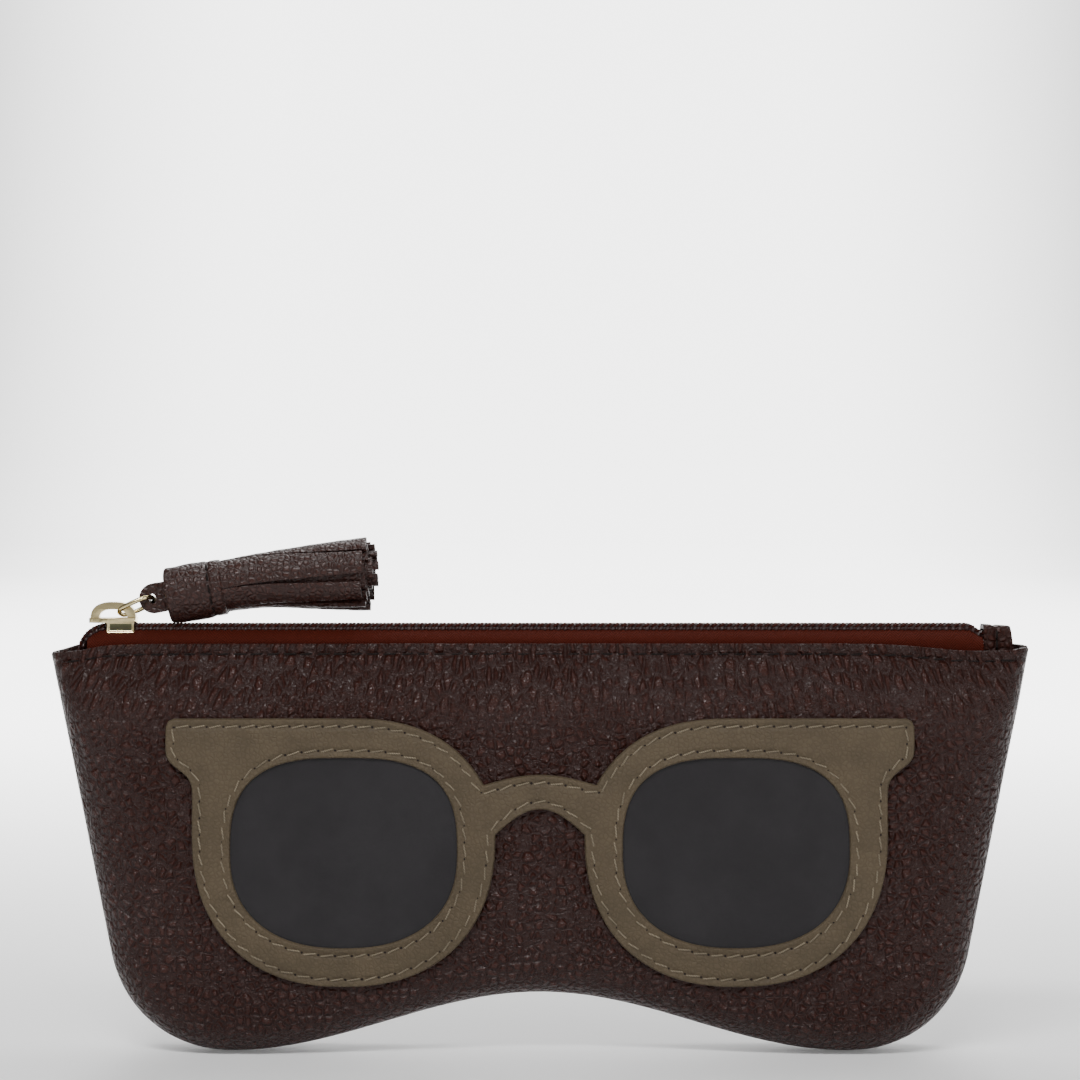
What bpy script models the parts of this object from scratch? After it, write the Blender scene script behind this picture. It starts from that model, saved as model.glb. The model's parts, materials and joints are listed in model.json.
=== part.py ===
"""A zipped leather pouch for several pairs of glasses, with a spectacle applique and a tassel pull.

Metres, +Z up, +X to the right, front towards -Y. The origin is the middle of the bounding box's bottom.
The pouch stands on the two lobes of its bottom edge. The zip is closed, with its slider at the left end.
"""

import math

import bmesh
import bpy
from mathutils import Vector

MM = 0.001

# Clearances between separate pieces
GAP = 0.3 * MM
SEAM_GAP = 0.3 * MM

# Outline of the pouch, seen from the front
TOP_HALF_WIDTH = 97.2 * MM
RIM_HEIGHT = 80.6 * MM
RIM_DROP = 1.2 * MM  # how much lower the rim is at its two ends
LOBE_X = 61.0 * MM  # where each bottom lobe touches the ground
ARCH_RISE = 11.7 * MM  # height of the bottom edge's middle
SIDE_FOOT = (85.5 * MM, 20.0 * MM)  # where the lobe's curve runs into the straight side
LOBE_HANDLES = (13.5 * MM, 11.0 * MM)  # reach of the lobe curve's two handles

# Depth of the pouch
BELLY = 9.0 * MM  # half depth over the flat middle
RIM_HALF_DEPTH = 5.5 * MM
WALL_BOTTOM = 4.5 * MM  # half depth of the flat strip that it stands on
WALL_SIDE = 2.6 * MM
WALL_TOP = 4.0 * MM
SIDE_ROUND = 12.0 * MM
TOP_ROUND = 5.0 * MM
BOTTOM_ROUND = 6.0 * MM
SHOULDER = 0.845  # share of the height at which the belly starts to narrow

# Layers
LEATHER = 1.2 * MM
LINING = 0.4 * MM
LINING_INSET = 2.3 * MM
LINING_TOP = 0.955
DIVIDER = 0.8 * MM
DIVIDER_INSET = 3.4 * MM
DIVIDER_TOP = 0.86
APPLIQUE = 1.5 * MM
LENS_PATCH = 0.7 * MM
PATCH_OVERLAP = 2.5 * MM
THREAD_RADIUS = 0.22 * MM

# Spectacle applique, mirrored in the pouch's middle
SPEC_TOP = 66.8 * MM
LENS_X = 38.5 * MM
FRAME_CENTRE_Z = 44.0 * MM
FRAME_HALF = (29.8 * MM, 30.0 * MM)
FRAME_ROUNDNESS = 2.3
OPENING_CENTRE_Z = 40.4 * MM
OPENING_HALF = (22.2 * MM, 18.65 * MM)
OPENING_ROUNDNESS_TOP = 2.9
OPENING_ROUNDNESS_BOTTOM = 2.35
BRIDGE_TOP = 55.8 * MM
BRIDGE_BOTTOM = 49.0 * MM
NOTCH = (11.0 * MM, 53.8 * MM)
HINGE_HALF_WIDTH = 73.4 * MM
HINGE_BOTTOM = 60.0 * MM
STITCH = 3.3 * MM
HEM_DROP = 2.1 * MM
HEM_END = 4.0 * MM
OUTER_STITCH_INSET = 1.5 * MM
LENS_STITCH_OFFSET = 1.6 * MM

# Zip
COIL_RADIUS = 0.7 * MM
COIL_Y = 1.25 * MM
COIL_Z = 84.2 * MM
TAIL_X = -86.0 * MM  # where the coils start to bend down into the left corner
TAIL_RADIUS = 5.0 * MM
TAPE = 0.5 * MM
TAPE_INSET = 1.75 * MM
TAPE_HIDDEN = 5.5 * MM  # how far the tape reaches down behind the rim
TAPE_LEFT = -89.4 * MM
TAB_LEFT = 88.0 * MM
TAB_RIGHT = 93.2 * MM
TAB_TOP = 84.9 * MM
TAB_BOTTOM = 77.6 * MM
TAB_HALF_DEPTH = 3.3 * MM
TAB_LEATHER = 1.0 * MM
COIL_DIP_START = 84.9 * MM
COIL_END = 91.2 * MM
COIL_DIP = 1.5 * MM

# Slider, at its closed end
SLIDER_NOSE = -89.6 * MM
SLIDER_TAIL = -80.4 * MM
FLANGE_LEFT = -85.8 * MM
FLANGE_BOTTOM = 83.3 * MM
SLIDER_PLATE = 0.6 * MM
POST_HALF = 0.25 * MM
BRIDGE_HALF_WIDTH = 1.3 * MM
BRIDGE_OUTER = (4.5 * MM, 3.2 * MM)
BRIDGE_INNER = (3.4 * MM, 2.0 * MM)

# Pull ring and tassel
RING_PIVOT = (-83.5 * MM, 87.0 * MM)
RING_HALF = (3.6 * MM, 3.2 * MM)
RING_WIRE = 0.42 * MM
RING_TILT = math.radians(24.5)
TASSEL_TILT = math.radians(6.5)
LOOP_RADIUS = 2.8 * MM
LOOP_HOLE = 1.2 * MM
LOOP_HALF_WIDTH = 1.9 * MM
LOOP_TAIL = 3.0 * MM
HEAD_RADIUS = 5.1 * MM
HEAD_WALL = 1.1 * MM
HEAD_START = 3.0 * MM
HEAD_END = 14.4 * MM
FRINGE_END = 43.0 * MM
FRINGE_RADIUS = (4.9 * MM, 7.5 * MM)

FRONT_REACH = BELLY + GAP + APPLIQUE + GAP + 2 * THREAD_RADIUS
MID_Y = (FRONT_REACH - BELLY) / 2  # middle plane of the pouch, which centres the whole box on the origin
FRONT = -1
BACK = 1

COLOURS = {
    "pebbled_leather": ((0.045, 0.017, 0.013), 0.5, 0.0),
    "taupe_leather": ((0.138, 0.109, 0.073), 0.45, 0.0),
    "charcoal_leather": ((0.027, 0.025, 0.026), 0.45, 0.0),
    "lining_cloth": ((0.12, 0.075, 0.05), 0.9, 0.0),
    "zip_tape": ((0.107, 0.021, 0.011), 0.85, 0.0),
    "zip_coil": ((0.03, 0.01, 0.008), 0.45, 0.0),
    "pale_gold": ((0.58, 0.49, 0.25), 0.3, 1.0),
    "smooth_leather": ((0.04, 0.013, 0.01), 0.55, 0.0),
    "beige_thread": ((0.38, 0.3, 0.2), 0.8, 0.0),
    "dark_thread": ((0.012, 0.007, 0.006), 0.8, 0.0),
}


# Scene, collections and materials


def clear_scene():
    for ob in list(bpy.data.objects):
        bpy.data.objects.remove(ob, do_unlink=True)


def new_collection(name):
    collection = bpy.data.collections.new(name)
    bpy.context.scene.collection.children.link(collection)
    return collection


def material(name):
    found = bpy.data.materials.get(name)
    if found:
        return found
    colour, roughness, metallic = COLOURS[name]
    made = bpy.data.materials.new(name)
    made.use_nodes = True
    shader = made.node_tree.nodes["Principled BSDF"]
    shader.inputs["Base Color"].default_value = (*colour, 1.0)
    shader.inputs["Roughness"].default_value = roughness
    shader.inputs["Metallic"].default_value = metallic
    return made


def add_object(name, data, finish, parent=None):
    """An object in the pouch's collection, with its own copy of the finish."""
    ob = bpy.data.objects.new(name, data)
    own = material(finish).copy()
    own.name = name + "_finish"
    data.materials.append(own)
    bpy.data.collections["multi_glasses_organizer"].objects.link(ob)
    ob.parent = parent
    return ob


def mesh_from(bm, name):
    mesh = bpy.data.meshes.new(name)
    bm.to_mesh(mesh)
    bm.free()
    return mesh


def shade_round(mesh):
    mesh.shade_smooth()
    mesh.set_sharp_from_angle(angle=math.radians(35))


# Plane curves


def bezier_point(a, b, c, d, t):
    s = 1 - t
    return a * s**3 + b * (3 * s * s * t) + c * (3 * s * t * t) + d * t**3


def at_fraction(points, fraction):
    """The point at a fraction of a polyline's length."""
    lengths = [(b - a).length for a, b in zip(points, points[1:])]
    left = fraction * sum(lengths)
    for a, b, length in zip(points, points[1:], lengths):
        if left <= length:
            return a.lerp(b, left / length)
        left -= length
    return points[-1].copy()


def resampled(points, pitch):
    """Evenly spaced points along a closed loop, about one pitch apart."""
    loop = points + [points[0]]
    total = sum((b - a).length for a, b in zip(loop, loop[1:]))
    count = round(total / pitch)
    return [at_fraction(loop, k / count) for k in range(count)]


def offset_loop(points, distance):
    """The closed loop, which runs anticlockwise, moved outwards by a distance."""
    moved = []
    for before, here, after in zip(points[-1:] + points[:-1], points, points[1:] + points[:1]):
        along = (here - before).normalized() + (after - here).normalized()
        moved.append(here + Vector((along.y, -along.x)).normalized() * distance)
    return moved


def superellipse(centre, half, roundness, angle):
    c = math.cos(angle)
    s = math.sin(angle)
    x = math.copysign(abs(c) ** (2 / roundness), c) * half[0]
    z = math.copysign(abs(s) ** (2 / roundness), s) * half[1]
    return Vector((centre[0] + x, centre[1] + z))


# The pouch's surface


def rim_z(x):
    return RIM_HEIGHT - RIM_DROP * abs(x / TOP_HALF_WIDTH) ** 4


def bottom_z(x):
    return ARCH_RISE * (1 + math.cos(math.pi * x / LOBE_X)) / 2


def outline_half():
    """The right half of the outline, from the bottom's middle to the top corner, and where its lower corner is."""
    arch_steps = 24
    lobe_steps = 16
    foot = Vector(SIDE_FOOT)
    top = Vector((TOP_HALF_WIDTH, rim_z(TOP_HALF_WIDTH)))
    lobe = Vector((LOBE_X, 0.0))
    handle_a = lobe + Vector((LOBE_HANDLES[0], 0.0))
    handle_b = foot - (top - foot).normalized() * LOBE_HANDLES[1]
    arch = [Vector((LOBE_X * k / arch_steps, bottom_z(LOBE_X * k / arch_steps))) for k in range(arch_steps)]
    curve = [bezier_point(lobe, handle_a, handle_b, foot, k / lobe_steps) for k in range(lobe_steps + 1)]
    corner = arch_steps + lobe_steps // 2
    return arch + curve + [top], corner


HALF_OUTLINE, CORNER = outline_half()


def smoothstep(t):
    t = min(max(t, 0.0), 1.0)
    return t * t * (3 - 2 * t)


def quarter_round(share):
    share = min(max(share, 0.0), 1.0)
    return math.sqrt(1 - (1 - share) ** 2)


def edge_distance(x, z):
    """How far a point is from the sides and bottom of the outline."""
    here = Vector((abs(x), z))
    nearest = math.inf
    for a, b in zip(HALF_OUTLINE, HALF_OUTLINE[1:]):
        share = min(max((here - a).dot(b - a) / (b - a).length_squared, 0.0), 1.0)
        nearest = min(nearest, (here - a.lerp(b, share)).length)
    return nearest


def wall_depth(height):
    """Half depth of the flat strip between the two rounded edges."""
    low = WALL_BOTTOM + (WALL_SIDE - WALL_BOTTOM) * smoothstep((height - 0.12) / 0.25)
    return low + (WALL_TOP - WALL_SIDE) * smoothstep((height - 0.7) / 0.3)


def surface_point(x, z, inset, side):
    """The point of the front or back surface over (x, z), inset from the outside of the leather."""
    height = z / RIM_HEIGHT
    narrowing = smoothstep((height - SHOULDER) / (1 - SHOULDER))
    full = BELLY + (RIM_HALF_DEPTH - BELLY) * narrowing
    lower = BOTTOM_ROUND + (SIDE_ROUND - BOTTOM_ROUND) * smoothstep((height - 0.1) / 0.25)
    rounding = lower + (TOP_ROUND - lower) * smoothstep((height - 0.6) / 0.4)
    share = quarter_round((edge_distance(x, z) - inset) / rounding)
    wall = wall_depth(height)
    return Vector((x, MID_Y + side * (wall + (full - wall) * share - inset), z))


def inset_outline(inset):
    """The half outline moved inwards, with its top end kept on the rim."""
    moved = []
    for k, here in enumerate(HALF_OUTLINE):
        before = HALF_OUTLINE[max(k - 1, 0)]
        after = HALF_OUTLINE[min(k + 1, len(HALF_OUTLINE) - 1)]
        along = (after - before).normalized()
        if k == 0:
            along = Vector((1.0, 0.0))
        moved.append(here + Vector((-along.y, along.x)) * inset)
    moved[-1].y = rim_z(moved[-1].x)
    return moved


def flat_grid(inset, across, up):
    """Places of a grid over the right half of the outlined area.

    across and up run from 0 to 1. The grid's edges lie on the outline, and its inner
    points are spread between them until each is at its neighbours' weighted middle.
    """
    outline = inset_outline(inset)
    bottom = outline[: CORNER + 1]
    side = outline[CORNER:]
    top_x = outline[-1].x
    last_i = len(across) - 1
    last_j = len(up) - 1
    grid = {}
    for i, u in enumerate(across):
        low = at_fraction(bottom, u)
        high = Vector((top_x * u, rim_z(top_x * u)))
        for j, v in enumerate(up):
            grid[i, j] = low.lerp(high, v)
    for j, v in enumerate(up):
        grid[last_i, j] = at_fraction(side, v)
    for _ in range(150):
        for i in range(1, last_i):
            for j in range(1, last_j):
                weights = {
                    (i - 1, j): 1 / (across[i] - across[i - 1]),
                    (i + 1, j): 1 / (across[i + 1] - across[i]),
                    (i, j - 1): 1 / (up[j] - up[j - 1]),
                    (i, j + 1): 1 / (up[j + 1] - up[j]),
                }
                total = sum(weights.values())
                grid[i, j] = sum((grid[at] * w for at, w in weights.items()), Vector((0.0, 0.0))) / total
    return grid


def stations_across():
    """Places across half a panel, from its middle to its side, ending with the rounded edge."""
    middle_cells = 11
    edge = SIDE_ROUND / TOP_HALF_WIDTH
    middle = [(1 - edge) * k / middle_cells for k in range(middle_cells + 1)]
    return middle + [1 - 0.3 * edge, 1.0]


def stations_up(top):
    """Places up a panel: its rounded bottom, the lobes, the belly, the mouth and the rim."""
    edge = BOTTOM_ROUND / RIM_HEIGHT
    lobe_top = 0.27
    lobe = [edge + (lobe_top - edge) * k / 3 for k in range(3)]
    belly = [lobe_top + (SHOULDER - lobe_top) * k / 3 for k in range(4)]
    mouth = [SHOULDER + (top - SHOULDER) * k / 3 for k in range(1, 4)]
    rim = [] if top == 1.0 else [1.0]
    return [0.0, 0.55 * edge] + lobe + belly + mouth + rim


# Helpers that make the pieces


def sheet(name, columns, rows, place, thickness, finish, outwards):
    """A grid whose vertices place(i, j) puts where they belong, thickened by Solidify.

    outwards is the way its outer side faces. The thickness goes the other way, or to both sides for None.
    """
    bm = bmesh.new()
    bmesh.ops.create_grid(bm, x_segments=columns - 1, y_segments=rows - 1, size=1.0)
    for vert in bm.verts:
        i = round((vert.co.x + 1) / 2 * (columns - 1))
        j = round((vert.co.y + 1) / 2 * (rows - 1))
        vert.co = place(i, j)
    bmesh.ops.remove_doubles(bm, verts=bm.verts, dist=0.00001)
    bm.normal_update()
    facing = max(bm.faces, key=lambda f: abs(f.normal.y))
    if outwards is not None and facing.normal.y * outwards < 0:
        bmesh.ops.reverse_faces(bm, faces=bm.faces)
    ob = add_object(name, mesh_from(bm, name), finish)
    wall = ob.modifiers.new("thickness", "SOLIDIFY")
    wall.thickness = thickness
    wall.offset = 0.0 if outwards is None else -1.0
    wall.use_even_offset = True
    shade_round(ob.data)
    return ob


def shell_half(name, inset, thickness, top, finish, side):
    """Half of a pocket: a face with rounded edges and a strip that runs in to the seam."""
    across = stations_across()
    up = stations_up(top)
    grid = flat_grid(inset, across, up)
    middle = len(across)
    rows = up.index(top) + 2

    def place(i, j):
        column = abs(i - middle)
        flat = grid[min(column, middle - 1), max(j - 1, 0)]
        point = surface_point(math.copysign(flat.x, i - middle), flat.y, inset, side)
        if column == middle or j == 0:
            point.y = MID_Y + side * SEAM_GAP / 2
        return point

    return sheet(name, 2 * middle + 1, rows, place, thickness, finish, side)


def outline_curve(name, loops, thickness, finish, parent=None):
    """A flat piece in the XZ plane: a filled outline, with any further loops as holes."""
    curve = bpy.data.curves.new(name, "CURVE")
    curve.dimensions = "2D"
    curve.fill_mode = "BOTH"
    curve.extrude = thickness / 2
    curve.render_resolution_u = 0
    for loop in loops:
        spline = curve.splines.new("POLY")
        spline.points.add(len(loop) - 1)
        for point, place in zip(spline.points, loop):
            point.co = (place.x, place.y, 0.0, 1.0)
        spline.use_cyclic_u = True
    ob = add_object(name, curve, finish, parent)
    ob.rotation_euler = (math.pi / 2, 0.0, 0.0)
    return ob


def as_mesh(ob, finish):
    """Turns a curve object into a mesh object of the same name and place."""
    bpy.context.view_layer.update()
    name = ob.name
    mesh = bpy.data.meshes.new_from_object(ob.evaluated_get(bpy.context.evaluated_depsgraph_get()))
    place = ob.matrix_world.copy()
    bpy.data.objects.remove(ob, do_unlink=True)
    bm = bmesh.new()
    bm.from_mesh(mesh)
    bmesh.ops.remove_doubles(bm, verts=bm.verts, dist=0.00001)
    bm.to_mesh(mesh)
    bm.free()
    mesh.materials.clear()
    made = add_object(name, mesh, finish)
    made.matrix_world = place
    return made


def cutter(ob):
    bpy.data.collections["multi_glasses_organizer"].objects.unlink(ob)
    bpy.data.collections["cutters"].objects.link(ob)
    ob.hide_render = True
    ob.display_type = "WIRE"
    return ob


def combine(ob, other, operation):
    """A live Boolean of ob with another object."""
    cut = ob.modifiers.new(operation.lower() + "_" + other.name, "BOOLEAN")
    cut.operation = operation
    cut.object = cutter(other) if other.name not in bpy.data.collections["cutters"].objects else other
    cut.solver = "EXACT"


def tube(name, points, radius, finish, closed=False, detail=0, parent=None):
    """A round bar along points, as a bevelled curve with filled ends."""
    curve = bpy.data.curves.new(name, "CURVE")
    curve.dimensions = "3D"
    curve.bevel_depth = radius
    curve.bevel_resolution = detail
    curve.use_fill_caps = not closed
    curve.render_resolution_u = 0
    spline = curve.splines.new("POLY")
    spline.points.add(len(points) - 1)
    for point, place in zip(spline.points, points):
        point.co = (*place, 1.0)
    spline.use_cyclic_u = closed
    return add_object(name, curve, finish, parent)


def box(name, low, high, finish):
    """A block between two corners, given in world coordinates."""
    low = Vector(low)
    high = Vector(high)
    bm = bmesh.new()
    bmesh.ops.create_cube(bm, size=1.0)
    bmesh.ops.scale(bm, vec=high - low, verts=bm.verts)
    ob = add_object(name, mesh_from(bm, name), finish)
    ob.location = (low + high) / 2
    return ob


def turned(name, profile, finish, parent, steps=24):
    """A body turned about its own Z axis from (radius, height) points."""
    bm = bmesh.new()
    verts = [bm.verts.new((radius, 0.0, height)) for radius, height in profile]
    for a, b in zip(verts, verts[1:]):
        bm.edges.new((a, b))
    if profile[0][0] > 0:
        bm.edges.new((verts[-1], verts[0]))
    ob = add_object(name, mesh_from(bm, name), finish, parent)
    turn = ob.modifiers.new("turn", "SCREW")
    turn.steps = steps
    turn.render_steps = steps
    turn.use_merge_vertices = True
    turn.merge_threshold = 0.00001
    return ob


# Pouch


def make_shell():
    shell_half("front_panel", 0.0, LEATHER, 1.0, "pebbled_leather", FRONT)
    shell_half("back_panel", 0.0, LEATHER, 1.0, "pebbled_leather", BACK)
    shell_half("front_lining", LINING_INSET, LINING, LINING_TOP, "lining_cloth", FRONT)
    shell_half("back_lining", LINING_INSET, LINING, LINING_TOP, "lining_cloth", BACK)


def make_divider():
    half_cells = 8
    across = [k / half_cells for k in range(half_cells + 1)]
    up = [0.0, 0.12, 0.25, DIVIDER_TOP, 1.0]
    grid = flat_grid(DIVIDER_INSET, across, up)

    def place(i, j):
        flat = grid[abs(i - half_cells), j]
        return Vector((math.copysign(flat.x, i - half_cells), MID_Y, flat.y))

    sheet("divider", 2 * half_cells + 1, len(up) - 1, place, DIVIDER, "lining_cloth", None)


# Spectacle applique


def lens_loop(side, grow):
    """The lens opening, grown outwards, as an anticlockwise loop."""
    centre = (side * LENS_X, OPENING_CENTRE_Z)
    steps = 44
    loop = []
    for k in range(steps):
        angle = 2 * math.pi * k / steps
        roundness = OPENING_ROUNDNESS_TOP if math.sin(angle) >= 0 else OPENING_ROUNDNESS_BOTTOM
        loop.append(superellipse(centre, OPENING_HALF, roundness, angle))
    return offset_loop(loop, grow)


def arc_through(ends, crown, steps):
    """Points of a shallow arch between two points at the same height, without its far end."""
    points = []
    for k in range(steps):
        t = k / steps
        x = ends[0].x + (ends[1].x - ends[0].x) * t
        points.append(Vector((x, ends[0].y + (crown - ends[0].y) * math.sin(math.pi * t))))
    return points


def spectacle_loop():
    """The spectacle outline, anticlockwise from the right side of the bridge's lower edge."""
    rim = []
    for k in range(31):
        angle = math.pi * (1.0 + k / 30)
        rim.append(superellipse((LENS_X, FRAME_CENTRE_Z), FRAME_HALF, FRAME_ROUNDNESS, angle))
    hinge_foot = Vector((rim[-1].x, 53.0 * MM))
    hinge_side = Vector((HINGE_HALF_WIDTH, HINGE_BOTTOM))
    chamfer_a = hinge_foot + Vector((0.3 * MM, 3.6 * MM))
    chamfer_b = hinge_side - Vector((0.3 * MM, 3.0 * MM))
    chamfer = [bezier_point(hinge_foot, chamfer_a, chamfer_b, hinge_side, k / 5) for k in range(6)]
    top_corner = [
        Vector((HINGE_HALF_WIDTH, SPEC_TOP - 1.6 * MM)),
        Vector((HINGE_HALF_WIDTH - 0.5 * MM, SPEC_TOP - 0.5 * MM)),
        Vector((HINGE_HALF_WIDTH - 1.6 * MM, SPEC_TOP)),
    ]
    notch = Vector(NOTCH)
    brow = Vector((36.0 * MM, SPEC_TOP))
    shoulder_a = brow - Vector((15.0 * MM, 0.0))
    shoulder_b = notch + Vector((3.4 * MM, 6.0 * MM))
    shoulder = [bezier_point(brow, shoulder_a, shoulder_b, notch, k / 9) for k in range(10)]
    right = rim + chamfer + top_corner + shoulder
    left = [Vector((-p.x, p.y)) for p in reversed(right)]
    bridge_top = arc_through((right[-1], left[0]), BRIDGE_TOP, 8)[1:]
    bridge_bottom = arc_through((left[-1], right[0]), BRIDGE_BOTTOM, 8)[1:]
    return right + bridge_top + left + bridge_bottom


def make_applique():
    """The frame-shaped overlay, its two lens patches underneath and the stitches round them."""
    outline = spectacle_loop()
    holes = [lens_loop(side, 0.0) for side in (-1, 1)]
    overlay_y = MID_Y - BELLY - GAP - APPLIQUE / 2
    patch_y = MID_Y - BELLY - GAP - LENS_PATCH / 2
    stitch_y = MID_Y - BELLY - GAP - APPLIQUE - GAP - THREAD_RADIUS

    overlay = outline_curve("spectacle_applique", [outline] + holes, APPLIQUE, "taupe_leather")
    overlay.location.y = overlay_y
    overlay = as_mesh(overlay, "taupe_leather")
    for side, word in ((-1, "left"), (1, "right")):
        pocket_depth = 2 * (LENS_PATCH + GAP)
        pocket = outline_curve(word + "_pocket", [lens_loop(side, PATCH_OVERLAP + GAP)], pocket_depth, "taupe_leather")
        pocket.location.y = MID_Y - BELLY - GAP
        combine(overlay, as_mesh(pocket, "taupe_leather"), "DIFFERENCE")
        patch = outline_curve("lens_patch_" + word, [lens_loop(side, PATCH_OVERLAP)], LENS_PATCH, "charcoal_leather")
        patch.location.y = patch_y
        ring = resampled(lens_loop(side, LENS_STITCH_OFFSET), STITCH)
        places = [Vector((p.x, stitch_y, p.y)) for p in ring]
        tube("lens_thread_" + word, places, THREAD_RADIUS, "beige_thread", closed=True)
    ring = resampled(offset_loop(outline, -OUTER_STITCH_INSET), STITCH)
    tube(
        "frame_thread",
        [Vector((p.x, stitch_y, p.y)) for p in ring],
        THREAD_RADIUS,
        "beige_thread",
        closed=True,
    )


# Threads of the pouch


def make_hem_threads():
    steps = 48
    reach = TOP_HALF_WIDTH - HEM_END
    for side, word in ((FRONT, "front"), (BACK, "back")):
        points = []
        for k in range(steps + 1):
            x = reach * (2 * k / steps - 1)
            points.append(surface_point(x, rim_z(x) - HEM_DROP, -GAP - THREAD_RADIUS, side))
        tube("hem_thread_" + word, points, THREAD_RADIUS, "dark_thread")


def make_seam_thread():
    """The hidden thread that joins the panels, just inside the edge."""
    inside = LEATHER + GAP + THREAD_RADIUS
    path = [Vector((-p.x, p.y)) for p in reversed(HALF_OUTLINE)] + HALF_OUTLINE[1:]
    steps = 90
    points = []
    for k in range(1, steps):
        here = at_fraction(path, k / steps)
        ahead = at_fraction(path, k / steps + 0.002)
        along = (ahead - here).normalized()
        place = here + Vector((-along.y, along.x)) * inside
        points.append(Vector((place.x, MID_Y, place.y)))
    tube("seam_thread", points, THREAD_RADIUS, "dark_thread")


# Zip


def coil_path(side):
    """The middle line of one coil, from inside the left corner to inside the end tab."""
    y = MID_Y + side * COIL_Y
    centre_z = COIL_Z - TAIL_RADIUS
    points = [Vector((TAIL_X - TAIL_RADIUS, y, centre_z - 2.0 * MM))]
    for k in range(7):
        angle = math.pi - math.pi / 2 * k / 6
        x = TAIL_X + TAIL_RADIUS * math.cos(angle)
        points.append(Vector((x, y, centre_z + TAIL_RADIUS * math.sin(angle))))
    straight = 12
    for k in range(1, straight + 1):
        points.append(Vector((TAIL_X + (COIL_DIP_START - TAIL_X) * k / straight, y, COIL_Z)))
    points.append(Vector((TAB_LEFT - 0.6 * MM, y, COIL_Z - COIL_DIP)))
    points.append(Vector((COIL_END, y, COIL_Z - COIL_DIP)))
    return points


def tape_top(x):
    """Height of a tape's upper edge, just under its coil."""
    clear = COIL_RADIUS + 0.35 * MM
    if x < TAIL_X:
        radius = TAIL_RADIUS - clear
        return COIL_Z - TAIL_RADIUS + math.sqrt(max(radius**2 - (x - TAIL_X) ** 2, 0.0))
    dip = COIL_DIP * smoothstep((x - COIL_DIP_START + 1.0 * MM) / (TAB_LEFT - COIL_DIP_START))
    return COIL_Z - clear - dip


def make_tapes():
    tape_right = TAB_LEFT - GAP
    stations = [TAPE_LEFT + 0.85 * MM * k for k in range(5)]
    middle = 22
    stations += [TAIL_X + (tape_right - TAIL_X) * k / middle for k in range(1, middle)]
    stations += [tape_right - 1.2 * MM, tape_right]

    for side, word in ((FRONT, "front"), (BACK, "back")):

        def place(i, j):
            x = stations[i]
            below = TAPE_HIDDEN * (2 - min(j, 2)) / 2
            rim = surface_point(x, rim_z(x) - below, TAPE_INSET, side)
            top = Vector((x, MID_Y + side * COIL_Y, tape_top(x)))
            return rim.lerp(top, max(j - 2, 0) / 2)

        sheet("zip_tape_" + word, len(stations), 5, place, TAPE, "zip_tape", None)


def make_coils():
    for side, word in ((FRONT, "front"), (BACK, "back")):
        tube("zip_coil_" + word, coil_path(side), COIL_RADIUS, "zip_coil", detail=2)


def make_end_tab():
    """Leather folded over the zip's right end, its legs inside the mouth."""
    columns = 3
    bend_steps = 6
    half = TAB_HALF_DEPTH
    bend = 1.6 * MM
    profile = [Vector((-half, TAB_BOTTOM)), Vector((-half, TAB_TOP - bend))]
    for k in range(1, bend_steps):
        angle = math.pi - math.pi / 2 * k / bend_steps
        profile.append(Vector((-half + bend + bend * math.cos(angle), TAB_TOP - bend + bend * math.sin(angle))))
    profile.append(Vector((-half + bend, TAB_TOP)))
    profile += [Vector((-p.x, p.y)) for p in reversed(profile)]

    def place(i, j):
        slope = 0.06 * MM
        x = TAB_LEFT + (TAB_RIGHT - TAB_LEFT) * i / (columns - 1)
        lean = 1.0 * MM * (TAB_TOP - profile[j].y) / (TAB_TOP - TAB_BOTTOM) * i / (columns - 1)
        return Vector((x + lean, MID_Y + profile[j].x, profile[j].y - slope * i))

    tab = sheet("zip_end_tab", columns, len(profile), place, TAB_LEATHER, "smooth_leather", None)
    tab.modifiers["thickness"].offset = -1.0
    bm = bmesh.new()
    bm.from_mesh(tab.data)
    top = max(bm.faces, key=lambda f: f.calc_center_median().z)
    if top.normal.z < 0:
        bmesh.ops.reverse_faces(bm, faces=bm.faces)
    bm.to_mesh(tab.data)
    bm.free()

    thread_x = TAB_LEFT + 2.4 * MM
    depth = half + GAP + THREAD_RADIUS
    places = [Vector((thread_x, MID_Y - depth, TAB_BOTTOM + (2.6 + 1.2 * k) * MM)) for k in range(3)]
    tube("end_tab_thread", places, THREAD_RADIUS, "dark_thread")


# Slider, pull ring and tassel


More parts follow.
